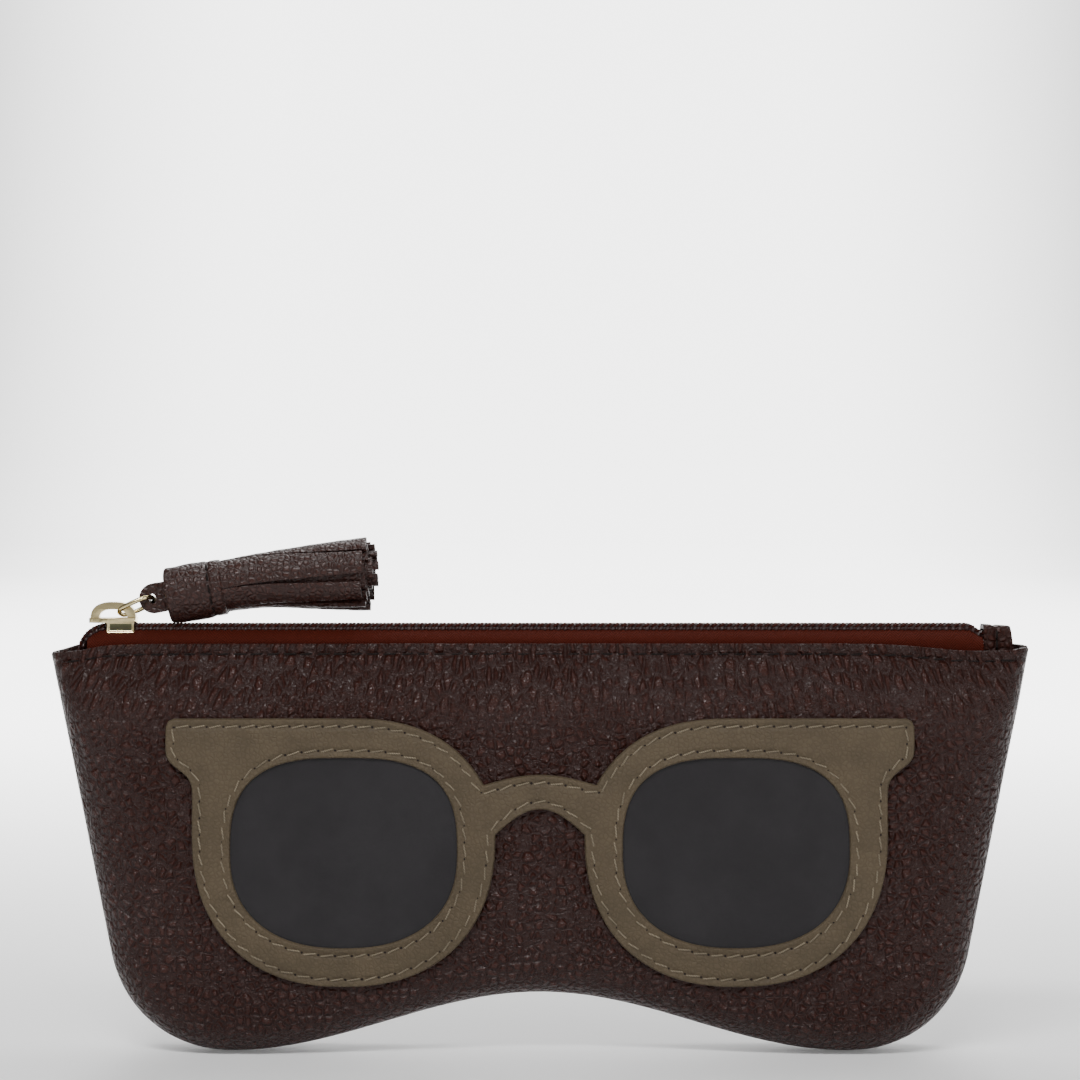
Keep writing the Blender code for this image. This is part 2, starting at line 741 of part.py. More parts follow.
def make_slider():
    """Top plate with side flanges over the coils, and a lower plate held by a thin post between them."""
    plate_bottom = COIL_Z + COIL_RADIUS + GAP
    plate_top = plate_bottom + SLIDER_PLATE
    inner = COIL_Y + COIL_RADIUS + GAP
    outer = inner + SLIDER_PLATE
    body = box(
        "slider_body",
        (SLIDER_NOSE, MID_Y - outer, plate_bottom),
        (SLIDER_TAIL, MID_Y + outer, plate_top),
        "pale_gold",
    )
    nose = 1.8 * MM
    for vert in body.data.vertices:
        if vert.co.x < 0:
            vert.co.y *= 0.55
    bm = bmesh.new()
    bm.from_mesh(body.data)
    upright = [e for e in bm.edges if abs(e.verts[0].co.z - e.verts[1].co.z) > SLIDER_PLATE / 2]
    at_nose = [e for e in upright if e.verts[0].co.x < 0]
    bmesh.ops.bevel(bm, geom=at_nose, offset=nose / 2, segments=3, affect="EDGES")
    bm.to_mesh(body.data)
    bm.free()
    for side, word in ((-1, "front"), (1, "back")):
        near = sorted((MID_Y + side * inner, MID_Y + side * outer))
        flange = box(
            word + "_flange",
            (FLANGE_LEFT, near[0], FLANGE_BOTTOM),
            (SLIDER_TAIL - 0.05 * MM, near[1], plate_bottom + SLIDER_PLATE / 2),
            "pale_gold",
        )
        combine(body, flange, "UNION")
    lower_top = COIL_Z - COIL_RADIUS - 0.6 * MM
    lower = box(
        "lower_plate",
        (FLANGE_LEFT + 0.4 * MM, MID_Y - 0.9 * MM, lower_top - 0.5 * MM),
        (SLIDER_TAIL - 0.3 * MM, MID_Y + 0.9 * MM, lower_top),
        "pale_gold",
    )
    post = box(
        "post",
        (FLANGE_LEFT + 0.6 * MM, MID_Y - POST_HALF, lower_top - 0.25 * MM),
        (FLANGE_LEFT + 2.0 * MM, MID_Y + POST_HALF, plate_bottom + SLIDER_PLATE / 2),
        "pale_gold",
    )
    combine(body, lower, "UNION")
    combine(body, post, "UNION")

    middle = (SLIDER_NOSE + SLIDER_TAIL) / 2 + 0.2 * MM
    foot = (middle, plate_top + GAP)
    arch = [superellipse(foot, BRIDGE_OUTER, 2.6, math.pi * k / 14) for k in range(15)]
    arch += [superellipse(foot, BRIDGE_INNER, 2.6, math.pi * k / 14) for k in range(14, -1, -1)]
    bridge = outline_curve("slider_bridge", [arch], 2 * BRIDGE_HALF_WIDTH, "pale_gold")
    bridge.location.y = MID_Y


def make_pull_ring():
    """A rounded oblong of wire, its origin on the axis that it swings about inside the bridge."""
    steps = 28
    loop = []
    for k in range(steps):
        flat = superellipse((RING_HALF[0], 0.0), RING_HALF, 2.8, 2 * math.pi * k / steps)
        loop.append(Vector((flat.x, flat.y, 0.0)))
    ring = tube("pull_ring", loop, RING_WIRE, "pale_gold", closed=True, detail=2)
    ring.location = (RING_PIVOT[0], MID_Y, RING_PIVOT[1])
    ring.rotation_euler = (0.0, -RING_TILT, 0.0)


def make_tassel():
    """The tassel's pieces, on an empty at the ring's far end whose Z axis runs down the tassel."""
    pivot = bpy.data.objects.new("tassel_pivot", None)
    pivot.empty_display_size = 5 * MM
    bpy.data.collections["multi_glasses_organizer"].objects.link(pivot)
    reach = 2 * RING_HALF[0]
    pivot.location = (
        RING_PIVOT[0] + reach * math.cos(RING_TILT),
        MID_Y,
        RING_PIVOT[1] + reach * math.sin(RING_TILT),
    )
    pivot.rotation_euler = (0.0, math.pi / 2 - TASSEL_TILT, 0.0)

    neck = 0.8 * MM
    start = math.asin(neck / LOOP_RADIUS)
    band = []
    for k in range(21):
        angle = start + (2 * math.pi - 2 * start) * k / 20
        band.append(Vector((LOOP_RADIUS * math.sin(angle), LOOP_RADIUS * math.cos(angle))))
    tail = [Vector((-neck, LOOP_TAIL)), Vector((neck, LOOP_TAIL))]
    hole = [Vector((math.cos(a), math.sin(a))) * LOOP_HOLE for a in (math.pi * k / 8 for k in range(16))]
    outline_curve("tassel_loop", [band + tail, hole], 2 * LOOP_HALF_WIDTH, "smooth_leather", pivot)

    inner = HEAD_RADIUS - HEAD_WALL
    bevel = 0.4 * MM
    wrap = [
        (HEAD_RADIUS - bevel, HEAD_END),
        (HEAD_RADIUS, HEAD_END - bevel),
        (HEAD_RADIUS, HEAD_START + bevel),
        (HEAD_RADIUS - bevel, HEAD_START),
        (inner, HEAD_START),
        (inner, HEAD_END),
    ]
    turned("tassel_head_wrap", wrap, "smooth_leather", pivot)
    core_radius = inner - GAP
    core_start = LOOP_TAIL + GAP
    core = [(0.0, HEAD_END), (core_radius, HEAD_END), (core_radius, core_start), (0.0, core_start)]
    turned("tassel_core", core, "smooth_leather", pivot)

    bm = bmesh.new()
    length = FRINGE_END - HEAD_END - GAP
    bmesh.ops.create_cone(
        bm,
        cap_ends=True,
        segments=40,
        radius1=FRINGE_RADIUS[0],
        radius2=FRINGE_RADIUS[1],
        depth=length,
    )
    for vert in bm.verts:
        turn = round(math.atan2(vert.co.y, vert.co.x) / (2 * math.pi) * 40)
        if turn % 4 == 0:
            vert.co.x *= 0.84
            vert.co.y *= 0.84
    fringe = add_object("tassel_fringe", mesh_from(bm, "tassel_fringe"), "smooth_leather", pivot)
    fringe.location = (0.0, 0.0, HEAD_END + GAP + length / 2)

    seam_radius = HEAD_RADIUS + GAP + THREAD_RADIUS
    seam = []
    for k in range(9):
        angle = math.radians(40 + 22 * k)
        seam.append(Vector((seam_radius * math.sin(angle), -seam_radius * math.cos(angle), HEAD_END - 2.6 * MM)))
    tube("tassel_thread", seam, THREAD_RADIUS, "dark_thread", parent=pivot)


def main():
    clear_scene()
    new_collection("multi_glasses_organizer")
    new_collection("cutters")
    make_shell()
    make_divider()
    make_applique()
    make_hem_threads()
    make_seam_thread()
    make_tapes()
    make_coils()
    make_end_tab()
    make_slider()
    make_pull_ring()
    make_tassel()


main()
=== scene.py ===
"""Looks of the zipped glasses pouch: pebbled leather, spectacle applique, zip and tassel.

Laid out as a Blender add-on and run as a script. Every length is in metres unless its name ends in _mm.
The pouch stands on its two lobes, +X runs along the zip and the applique faces -Y.
"""

import json
import math
from functools import cache

import bpy
import numpy as np
from bpy.props import FloatProperty, FloatVectorProperty, PointerProperty
from mathutils import Matrix, Vector, noise


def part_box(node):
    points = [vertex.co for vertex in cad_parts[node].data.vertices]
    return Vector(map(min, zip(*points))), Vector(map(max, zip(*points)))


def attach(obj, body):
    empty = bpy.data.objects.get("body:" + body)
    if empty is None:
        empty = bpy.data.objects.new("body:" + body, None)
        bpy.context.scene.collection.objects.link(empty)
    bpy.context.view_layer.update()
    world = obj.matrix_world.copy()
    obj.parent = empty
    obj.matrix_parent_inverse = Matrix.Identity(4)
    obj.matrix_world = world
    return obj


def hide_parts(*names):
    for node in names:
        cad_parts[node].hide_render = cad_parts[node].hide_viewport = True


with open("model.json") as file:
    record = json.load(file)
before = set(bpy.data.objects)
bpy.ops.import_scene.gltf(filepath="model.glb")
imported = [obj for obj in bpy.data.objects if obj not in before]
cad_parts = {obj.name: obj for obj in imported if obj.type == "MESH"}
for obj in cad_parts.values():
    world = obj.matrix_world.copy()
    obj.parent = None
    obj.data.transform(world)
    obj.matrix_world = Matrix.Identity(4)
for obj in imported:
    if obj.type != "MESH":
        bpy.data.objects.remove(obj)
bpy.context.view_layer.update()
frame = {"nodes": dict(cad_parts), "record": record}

bl_info = {
    "name": "Glasses pouch",
    "version": (1, 0, 0),
    "blender": (4, 5, 0),
    "location": "View3D > Sidebar > Pouch",
    "description": "Models the leather, zip and tassel of a pouch for several pairs of glasses",
    "category": "Object",
}

MM = 0.001
JOINTS = {joint["name"]: joint for joint in frame["record"]["behaviour"]["joints"]}
FRONT = -1
BACK = 1
SIDES = ((FRONT, "front"), (BACK, "back"))

# Outline of the pouch, read from the frame where it states it
PANEL_LOW, PANEL_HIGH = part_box("front_panel")
TOP_HALF_WIDTH = PANEL_HIGH[0]
RIM_HEIGHT = PANEL_HIGH[2]
RIM_RISE = 0.7 * MM
RIM_DROP = 1.4 * MM
RIM_POWER = 12
PANEL_THICKNESS = 1.1 * MM
LOBE_X = 61.0 * MM
ARCH_RISE = 11.7 * MM
SIDE_FOOT = (85.5 * MM, 20.0 * MM)
LOBE_HANDLES = (13.5 * MM, 11.0 * MM)
MID_Y = (PANEL_LOW[1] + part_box("back_panel")[1][1]) / 2
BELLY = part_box("back_panel")[1][1] - MID_Y
RIM_HALF_DEPTH = 5.5 * MM
SHOULDER = 0.82
SEAM_GAP = 0.15 * MM
EDGE_POWER = 2.3

# Zip, from the coils and the tab of the frame
COIL_LOW, COIL_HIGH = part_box("zip_coil_front")
COIL_RADIUS = (COIL_HIGH[1] - COIL_LOW[1]) / 2
COIL_Z = COIL_HIGH[2] - COIL_RADIUS
COIL_Y = MID_Y - (COIL_LOW[1] + COIL_HIGH[1]) / 2
TAIL_X = -86.0 * MM
TAIL_RADIUS = 5.0 * MM
TAB_LOW, TAB_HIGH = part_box("zip_end_tab")
COIL_DIP = 1.5 * MM
DIP_START = TAB_LOW[0] - 3.1 * MM

# Tassel axis
RING_PIVOT = Vector(JOINTS["ring_swing"]["pos_m"])
TASSEL_PIVOT = Vector(JOINTS["tassel_swing"]["pos_m"])


# Settings


def colour_setting(name, description, default):
    return FloatVectorProperty(name=name, description=description, subtype="COLOR", default=default)

def length_setting(name, description, default):
    return FloatProperty(name=name, description=description, default=default, unit="LENGTH", subtype="DISTANCE")

class LeatherSettings(bpy.types.PropertyGroup):
    """Colours and grain of the leathers and threads"""

    brown: colour_setting("Pouch", "Colour of the pebbled leather", (0.029, 0.0078, 0.005))
    taupe: colour_setting("Applique", "Colour of the frame-shaped overlay", (0.078, 0.059, 0.0365))
    lens: colour_setting("Lenses", "Colour of the lens patches", (0.019, 0.0175, 0.019))
    tassel: colour_setting("Tassel", "Colour of the tassel leather", (0.029, 0.01, 0.0072))
    raw_edge: colour_setting("Raw edge", "Colour of a cut leather edge", (0.13, 0.078, 0.048))
    thread: colour_setting("Thread", "Colour of the thread on the applique", (0.2, 0.165, 0.115))
    grain_mm: FloatProperty(name="Grain", description="Size of one pebble of the grain in mm", default=1.7)
    stitch: length_setting("Stitch", "Length of one stitch", 3.3 * MM)
    hem: length_setting("Hem", "Width of the turned hem", 2.1 * MM)

class ZipSettings(bpy.types.PropertyGroup):
    """Colours and pitch of the zip"""

    tape: colour_setting("Tape", "Colour of the woven tape", (0.055, 0.0075, 0.0032))
    coil: colour_setting("Coil", "Colour of the nylon coil", (0.02, 0.006, 0.005))
    metal: colour_setting("Metal", "Colour of the slider and ring", (0.72, 0.6, 0.33))
    pitch: length_setting("Pitch", "Distance between turns of the coil", 1.35 * MM)

class StageSettings(bpy.types.PropertyGroup):
    """Camera and light"""

    lens: FloatProperty(name="Lens", description="Focal length of the camera in mm", default=100.0)
    elevation: FloatProperty(
        name="Elevation",
        description="Height of the camera above the horizon",
        default=math.radians(6.0),
        subtype="ANGLE",
    )
    key_power: FloatProperty(
        name="Key light", description="Power of the main soft light", default=9.0, subtype="POWER"
    )


# Small modelling helpers


def deselect():
    if bpy.context.object and bpy.context.object.mode != "OBJECT":
        bpy.ops.object.mode_set(mode="OBJECT")
    bpy.ops.object.select_all(action="DESELECT")


def make_active(ob):
    deselect()
    ob.select_set(True)
    bpy.context.view_layer.objects.active = ob


def modify(ob, kind, **settings):
    """Adds a modifier and applies it."""
    make_active(ob)
    modifier = ob.modifiers.new(kind.lower(), kind)
    for key, value in settings.items():
        setattr(modifier, key, value)
    bpy.ops.object.modifier_apply(modifier=modifier.name)


def bevel_edges(ob, width, segments, degrees):
    """Rounds the edges that turn by more than an angle."""
    modify(ob, "BEVEL", width=width, segments=segments, limit_method="ANGLE", angle_limit=math.radians(degrees))

def settle(ob):
    """Applies the object's place, turn and size to its mesh."""
    make_active(ob)
    bpy.ops.object.transform_apply(location=True, rotation=True, scale=True)


def shade_round(ob, degrees=40):
    make_active(ob)
    bpy.ops.object.shade_smooth_by_angle(angle=math.radians(degrees))


def grid(name, columns, rows):
    """A grid of vertices, returned with each vertex's column and row."""
    deselect()
    bpy.ops.mesh.primitive_grid_add(x_subdivisions=columns - 1, y_subdivisions=rows - 1, size=2)
    ob = bpy.context.active_object
    ob.name = name
    places = vertex_places(ob)
    column = np.rint((places[:, 0] + 1) / 2 * (columns - 1)).astype(int)
    row = np.rint((places[:, 1] + 1) / 2 * (rows - 1)).astype(int)
    return ob, column, row


def move_vertices(ob, x, y, z):
    ob.data.vertices.foreach_set("co", np.stack([x, y, z], axis=-1).ravel())
    ob.data.update()


def vertex_places(ob):
    places = np.empty(len(ob.data.vertices) * 3)
    ob.data.vertices.foreach_get("co", places)
    return places.reshape(-1, 3)


def face_outwards(ob):
    """Merges doubled vertices and turns the faces of a closed shape outwards."""
    make_active(ob)
    bpy.ops.object.mode_set(mode="EDIT")
    bpy.ops.mesh.select_all(action="SELECT")
    bpy.ops.mesh.remove_doubles(threshold=0.005 * MM)
    bpy.ops.mesh.normals_make_consistent(inside=False)
    bpy.ops.object.mode_set(mode="OBJECT")


def turn_over(ob):
    """Flips every face of an open sheet."""
    make_active(ob)
    bpy.ops.object.mode_set(mode="EDIT")
    bpy.ops.mesh.select_all(action="SELECT")
    bpy.ops.mesh.flip_normals()
    bpy.ops.object.mode_set(mode="OBJECT")

def flip_if_facing(ob, direction):
    """Turns an open sheet over if its largest face looks the wrong way."""
    normal = max(ob.data.polygons, key=lambda p: p.area).normal
    if normal.dot(direction) < 0:
        turn_over(ob)


def joined(name, obs):
    deselect()
    for ob in obs:
        ob.select_set(True)
    bpy.context.view_layer.objects.active = obs[0]
    bpy.ops.object.join()
    obs[0].name = name
    return obs[0]


def copies(name, master, places):
    """One piece made of a copy of master at each place. The master goes."""
    made = []
    for place in places:
        copy = master.copy()
        copy.data = master.data.copy()
        copy.data.transform(place)
        bpy.context.scene.collection.objects.link(copy)
        made.append(copy)
    bpy.data.objects.remove(master)
    return joined(name, made)


def curve_mesh(name, paths, closed, **settings):
    """The mesh of a curve that runs straight from point to point of each path."""
    curve = bpy.data.curves.new(name, "CURVE")
    for key, value in settings.items():
        setattr(curve, key, value)
    for path in paths:
        spline = curve.splines.new("POLY")
        spline.points.add(len(path) - 1)
        for point, place in zip(spline.points, path):
            point.co = (*place, *[0.0] * (3 - len(place)), 1.0)
        spline.use_cyclic_u = closed
    ob = bpy.data.objects.new(name, curve)
    bpy.context.scene.collection.objects.link(ob)
    make_active(ob)
    bpy.ops.object.convert(target="MESH")
    return bpy.context.active_object

def wire(name, paths, radius, sides=2, closed=False):
    """Round bars along paths."""
    shape = {"dimensions": "3D", "bevel_depth": radius, "bevel_resolution": sides, "use_fill_caps": not closed}
    ob = curve_mesh(name, paths, closed, **shape)
    face_outwards(ob)
    shade_round(ob, 50)
    return ob

def flat_shape(name, loops, thickness):
    """A filled outline in the XZ plane, with any further loops as holes, centred on y = 0."""
    ob = curve_mesh(name, loops, True, dimensions="2D", fill_mode="BOTH", extrude=thickness / 2)
    ob.rotation_euler = (math.pi / 2, 0.0, 0.0)
    settle(ob)
    face_outwards(ob)
    return ob

def dress(ob, material, body, slot, nodes, *more):
    """Gives a finished piece its materials and its body, and hides the nodes it stands for. slot is not used."""
    if material:
        chosen = [face.material_index for face in ob.data.polygons]
        ob.data.materials.clear()
        for finish in (material, *more):
            ob.data.materials.append(finish)
        ob.data.polygons.foreach_set("material_index", chosen)
    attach(ob, body)
    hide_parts(*nodes)


# Plane shapes

SHARP_TURN = math.radians(24)
STITCH_CORNER = math.radians(38)


def superellipse(centre, half, power, angle):
    c = math.cos(angle)
    s = math.sin(angle)
    x = math.copysign(abs(c) ** (2 / power), c) * half[0]
    z = math.copysign(abs(s) ** (2 / power), s) * half[1]
    return Vector((centre[0] + x, centre[1] + z))


def path_length(points):
    return sum((b - a).length for a, b in zip(points, points[1:]))


def at_lengths(points, lengths):
    """The points at the given lengths along a polyline, as an array."""
    steps = [0.0]
    for a, b in zip(points, points[1:]):
        steps.append(steps[-1] + (b - a).length)
    columns = [np.interp(lengths, steps, [p[k] for p in points]) for k in range(len(points[0]))]
    return np.stack(columns, axis=-1)


def turning(before, here, after):
    return (here - before).angle(after - here, 0.0)


def smooth_loop(points, spacing):
    """A closed loop with points about spacing apart, rounded everywhere but at its corners."""
    shifted = points[-1:] + points[:-1]
    points = [p for p, before in zip(points, shifted) if (p - before).length > spacing / 3]
    count = len(points)
    turns = [turning(points[k - 1], points[k], points[(k + 1) % count]) for k in range(count)]
    sharp = [turn > SHARP_TURN for turn in turns]
    made = []
    for k in range(count):
        a = points[k]
        b = points[(k + 1) % count]
        chord = (b - a).length
        before = a if sharp[k] else points[k - 1]
        after = b if sharp[(k + 1) % count] else points[(k + 2) % count]
        lean_a = (b - before).normalized() * chord
        lean_b = (after - a).normalized() * chord
        pieces = max(round(chord / spacing), 1)
        for step in range(pieces):
            t = step / pieces
            h = (2 * t**3 - 3 * t**2 + 1, t**3 - 2 * t**2 + t, -2 * t**3 + 3 * t**2, t**3 - t**2)
            made.append(a * h[0] + lean_a * h[1] + b * h[2] + lean_b * h[3])
    return made


def offset_loop(points, distance):
    """A closed anticlockwise loop moved outwards."""
    moved = []
    for before, here, after in zip(points[-1:] + points[:-1], points, points[1:] + points[:1]):
        along = (here - before).normalized() + (after - here).normalized()
        moved.append(here + Vector((along.y, -along.x)).normalized() * distance)
    return moved


def loop_area(points):
    return sum(a.x * b.y - b.x * a.y for a, b in zip(points, points[1:] + points[:1])) / 2


def face_loops(node):
    """The outlines of a flat node's front face in (x, z), longest first, each anticlockwise."""
    source = frame["nodes"][node]
    copy = bpy.data.objects.new("outline_copy", source.data.copy())
    bpy.context.scene.collection.objects.link(copy)
    face_outwards(copy)
    front = min(v.co.y for v in copy.data.vertices)
    count = {}
    for polygon in copy.data.polygons:
        if all(copy.data.vertices[k].co.y < front + 0.01 * MM for k in polygon.vertices):
            for edge in polygon.edge_keys:
                count[edge] = count.get(edge, 0) + 1
    neighbours = {}
    for (a, b), times in count.items():
        if times == 1:
            neighbours.setdefault(a, []).append(b)
            neighbours.setdefault(b, []).append(a)
    loops = []
    while neighbours:
        start = min(neighbours)
        chain = [start]
        while True:
            onward = [k for k in neighbours.get(chain[-1], []) if k not in chain[-2:]]
            if not onward or onward[0] == start:
                break
            chain.append(onward[0])
        for k in chain:
            neighbours.pop(k, None)
        points = [Vector((copy.data.vertices[k].co.x, copy.data.vertices[k].co.z)) for k in chain]
        if loop_area(points) < 0:
            points.reverse()
        loops.append(points)
    bpy.data.objects.remove(copy)
    return sorted(loops, key=lambda points: -loop_area(points))


# The pouch's surface


def rim_z(x):
    """Height of the mouth's edge, which drops only at its two ends."""
    return RIM_HEIGHT + RIM_RISE - RIM_DROP * np.abs(x / TOP_HALF_WIDTH) ** RIM_POWER


def rim_shift(x, z, side):
    """How the mouth sags in front of the zip's right end and gapes at the left corner, upwards."""
    left = -0.6 * MM * hump(x, -TOP_HALF_WIDTH, 4 * MM)
    right = 0.6 * MM * hump(x, TOP_HALF_WIDTH, 4 * MM)
    if side == FRONT:
        moved = left + right - 1.1 * MM * hump(x, 84 * MM, 11 * MM)
        moved -= 0.6 * MM * hump(x, -91 * MM, 4 * MM)
    else:
        moved = left + right + 0.3 * MM * hump(x, -90 * MM, 5 * MM)
    return moved * smoothstep((z - 68 * MM) / (12 * MM))


def half_outline():
    """The right half of the outline in (x, z), and the index of its lower corner."""
    arch_steps = 40
    lobe_steps = 28
    foot = Vector(SIDE_FOOT)
    top = Vector((TOP_HALF_WIDTH, float(rim_z(TOP_HALF_WIDTH))))
    lobe = Vector((LOBE_X, 0.0))
    handle_a = lobe + Vector((LOBE_HANDLES[0], 0.0))
    handle_b = foot - (top - foot).normalized() * LOBE_HANDLES[1]
    arch = []
    for k in range(arch_steps):
        x = LOBE_X * k / arch_steps
        arch.append(Vector((x, ARCH_RISE * (1 + math.cos(math.pi * x / LOBE_X)) / 2)))
    curve = []
    for k in range(lobe_steps + 1):
        t = k / lobe_steps
        s = 1 - t
        curve.append(lobe * s**3 + handle_a * 3 * s * s * t + handle_b * 3 * s * t * t + foot * t**3)
    return arch + curve + [top], arch_steps + lobe_steps // 2


HALF_OUTLINE, CORNER = half_outline()


def hump(x, centre, width):
    """1 at the centre, fading to nothing about two widths away."""
    return np.exp(-(((x - centre) / width) ** 2))

def smoothstep(t):
    t = np.clip(t, 0.0, 1.0)
    return t * t * (3 - 2 * t)


def from_stretch(here, a, b):
    """How far points are from a straight stretch, and the share along it of the nearest place."""
    start = np.array(a)
    step = np.array(b) - start
    share = np.clip(((here - start) @ step) / max(step @ step, 1e-12), 0.0, 1.0)
    return np.linalg.norm(here - start - share[..., None] * step, axis=-1), share

def edge_distance(x, z):
    """How far points are from the sides and the bottom, and where along the outline that is."""
    here = np.stack([np.abs(x), z], axis=-1)
    nearest = np.full(np.shape(x), 1.0)
    along = np.zeros(np.shape(x))
    walked = 0.0
    for a, b in zip(HALF_OUTLINE, HALF_OUTLINE[1:]):
        away, share = from_stretch(here, a, b)
        length = np.linalg.norm(np.array(b) - np.array(a))
        closer = away < nearest
        nearest = np.where(closer, away, nearest)
        along = np.where(closer, walked + share * length, along)
        walked += length
    return nearest, along

def spread(values, scale, seed, stretch=(1.0, 1.0)):
    """Smooth noise over (x, z) points, from about -1 to 1."""
    x, z = values
    wide, tall = stretch
    heights = [noise.noise((a / scale * wide, seed, b / scale * tall)) for a, b in zip(x.ravel(), z.ravel())]
    return np.array(heights).reshape(np.shape(x))


def half_depth(x, z, inset=0.0):
    """Half the pouch's depth over points (x, z), with soft round edges."""
    height = z / RIM_HEIGHT
    narrowing = smoothstep((height - SHOULDER) / (1.02 - SHOULDER))
    full = BELLY + (RIM_HALF_DEPTH - BELLY) * narrowing
    distance, _ = edge_distance(x, z)
    lower = 8.0 * MM + 7.0 * MM * smoothstep((height - 0.08) / 0.25)
    rounding = lower + (5.0 * MM - lower) * smoothstep((height - 0.62) / 0.4)
    share = np.clip((distance - inset) / rounding, 0.0, 1.0)
    profile = (1 - (1 - share) ** EDGE_POWER) ** (1 / EDGE_POWER)
    return SEAM_GAP + (full - SEAM_GAP - inset) * profile


def swell(x, z):
    """The gentle unevenness of the filled pouch, outwards, shared by all that lies on the front."""
    pillow = 0.9 * MM * np.cos(np.clip(x / TOP_HALF_WIDTH, -1, 1) * math.pi / 2) ** 0.7
    pillow = pillow * np.sin(np.clip(z / RIM_HEIGHT, 0, 1) * math.pi)
    return pillow + 0.35 * MM * spread((x, z), 34 * MM, 2.3)


def face_y(x, z, side, proud=0.0):
    """The y of the leather's outer face over (x, z), moved outwards by proud."""
    return MID_Y + side * (half_depth(x, z) + swell(x, z) * (side == FRONT) + proud)


def flat_grid(inset, across, up):
    """Places of a grid over the outlined area's right half, evened out by letting them relax."""
    outline = []
    for k, here in enumerate(HALF_OUTLINE):
        before = HALF_OUTLINE[max(k - 1, 0)]
        after = HALF_OUTLINE[min(k + 1, len(HALF_OUTLINE) - 1)]
        along = Vector((1.0, 0.0)) if k == 0 else (after - before).normalized()
        outline.append(here + Vector((-along.y, along.x)) * inset)
    outline[-1].y = float(rim_z(outline[-1].x))
    bottom = outline[: CORNER + 1]
    side = outline[CORNER:]
    low = at_lengths(bottom, across * path_length(bottom))
    edge = at_lengths(side, up * path_length(side))
    top_x = outline[-1].x * across
    high = np.stack([top_x, rim_z(top_x)], axis=-1)
    places = low[:, None, :] * (1 - up)[None, :, None] + high[:, None, :] * up[None, :, None]
    places[-1] = edge
    left = (1 / np.diff(across))[:-1, None, None]
    right = (1 / np.diff(across))[1:, None, None]
    below = (1 / np.diff(up))[None, :-1, None]
    above = (1 / np.diff(up))[None, 1:, None]
    total = left + right + below + above
    for _ in range(1600):
        inner = left * places[:-2, 1:-1] + right * places[2:, 1:-1]
        inner += below * places[1:-1, :-2] + above * places[1:-1, 2:]
        places[1:-1, 1:-1] = inner / total
    return places


def eased(count, crowding):
    """Stations from 0 to 1, closer together towards 1."""
    t = np.linspace(0.0, 1.0, count)
    return (1 - crowding) * t + crowding * np.sin(t * math.pi / 2)


def outlined_grid(name, inset, across, up, rows):
    """A grid over the whole outlined area, returned with the x and z of its vertices."""
    half = flat_grid(inset, across, up)
    ob, column, row = grid(name, 2 * len(across) - 1, rows)
    middle = len(across) - 1
    flat = half[np.abs(column - middle), row]
    return ob, flat[:, 0] * np.sign(column - middle), flat[:, 1]

def leather_relief(x, z, side):
    """Hem, wrinkles, creases and seam puckers of the leather, outwards."""
    below_rim = rim_z(x) - z
    settings = bpy.context.scene.pouch_leather
    wide = smoothstep((TOP_HALF_WIDTH - np.abs(x)) / (3 * MM))
    relief = 0.3 * MM * smoothstep((settings.hem - below_rim) / (0.5 * MM))
    relief -= 0.38 * MM * hump(below_rim, settings.hem, 0.35 * MM) * wide
    fan = x * (1 - 4 * below_rim)
    gathers = spread((fan, z), 1.5 * MM, 5.1 + side, (1.0, 0.22))
    gathers += 0.6 * spread((fan, z), 3.4 * MM, 9.7 + side, (1.0, 0.3))
    under_hem = below_rim - settings.hem
    band = smoothstep(under_hem / (0.8 * MM)) * np.exp(-np.clip(under_hem, 0, 1) / (4.5 * MM))
    relief += 0.3 * MM * gathers * band
    distance, along = edge_distance(x, z)
    puckers = spread((along * np.sign(x), along * 0), 2.6 * MM, 1.9)
    relief += 0.25 * MM * puckers * np.exp(-distance / (2.2 * MM)) * smoothstep(distance / (0.8 * MM))
    folds = spread((x + 0.5 * z, z - 0.3 * x), 9 * MM, 7.7 * side, (0.55, 1.3))
    relief += 0.16 * MM * (1 - np.abs(folds)) ** 3 * smoothstep((40 * MM - z) / (35 * MM))
    relief += 0.09 * MM * spread((x, z), 1.5 * MM, 3.3 * side)
    return relief


def make_panel(name, side):
    """A leather panel: one face of the pouch with its hem along the mouth."""
    across = eased(140, 0.45)
    up = 1 - eased(128, 0.25)[::-1]
    up[0], up[-1] = 0.0, 1.0
    ob, x, z = outlined_grid(name, 0.0, across, up, len(up))
    distance, _ = edge_distance(x, z)
    y = face_y(x, z, side, leather_relief(x, z, side) * smoothstep(distance / (0.6 * MM)))
    seam = distance < 0.001 * MM
    y = np.where(seam, MID_Y + side * SEAM_GAP, y)
    move_vertices(ob, x, y, z + rim_shift(x, z, side))
    flip_if_facing(ob, Vector((0, side, 0)))
    modify(ob, "SOLIDIFY", thickness=PANEL_THICKNESS, offset=-1.0, use_even_offset=False)
    bevel_edges(ob, 0.42 * MM, 3, 62)
    shade_round(ob, 50)
    return ob


def plain_sheet(name, inset, top, side, thickness):
    """A lining or the divider: a smooth sheet inside the pouch. side 0 is the middle."""
    across = np.linspace(0.0, 1.0, 40)
    up = np.append(np.linspace(0.0, top, 26), 1.0)
    ob, x, z = outlined_grid(name, inset, across, up, len(up) - 1)
    y = MID_Y + side * np.maximum(half_depth(x, z, inset), SEAM_GAP)
    move_vertices(ob, x, y, z + rim_shift(x, z, side))
    flip_if_facing(ob, Vector((0, side or -1, 0)))
    modify(ob, "SOLIDIFY", thickness=thickness, offset=-1.0 if side else 0.0)
    shade_round(ob, 50)
    return ob


# Applique, lenses and stitches


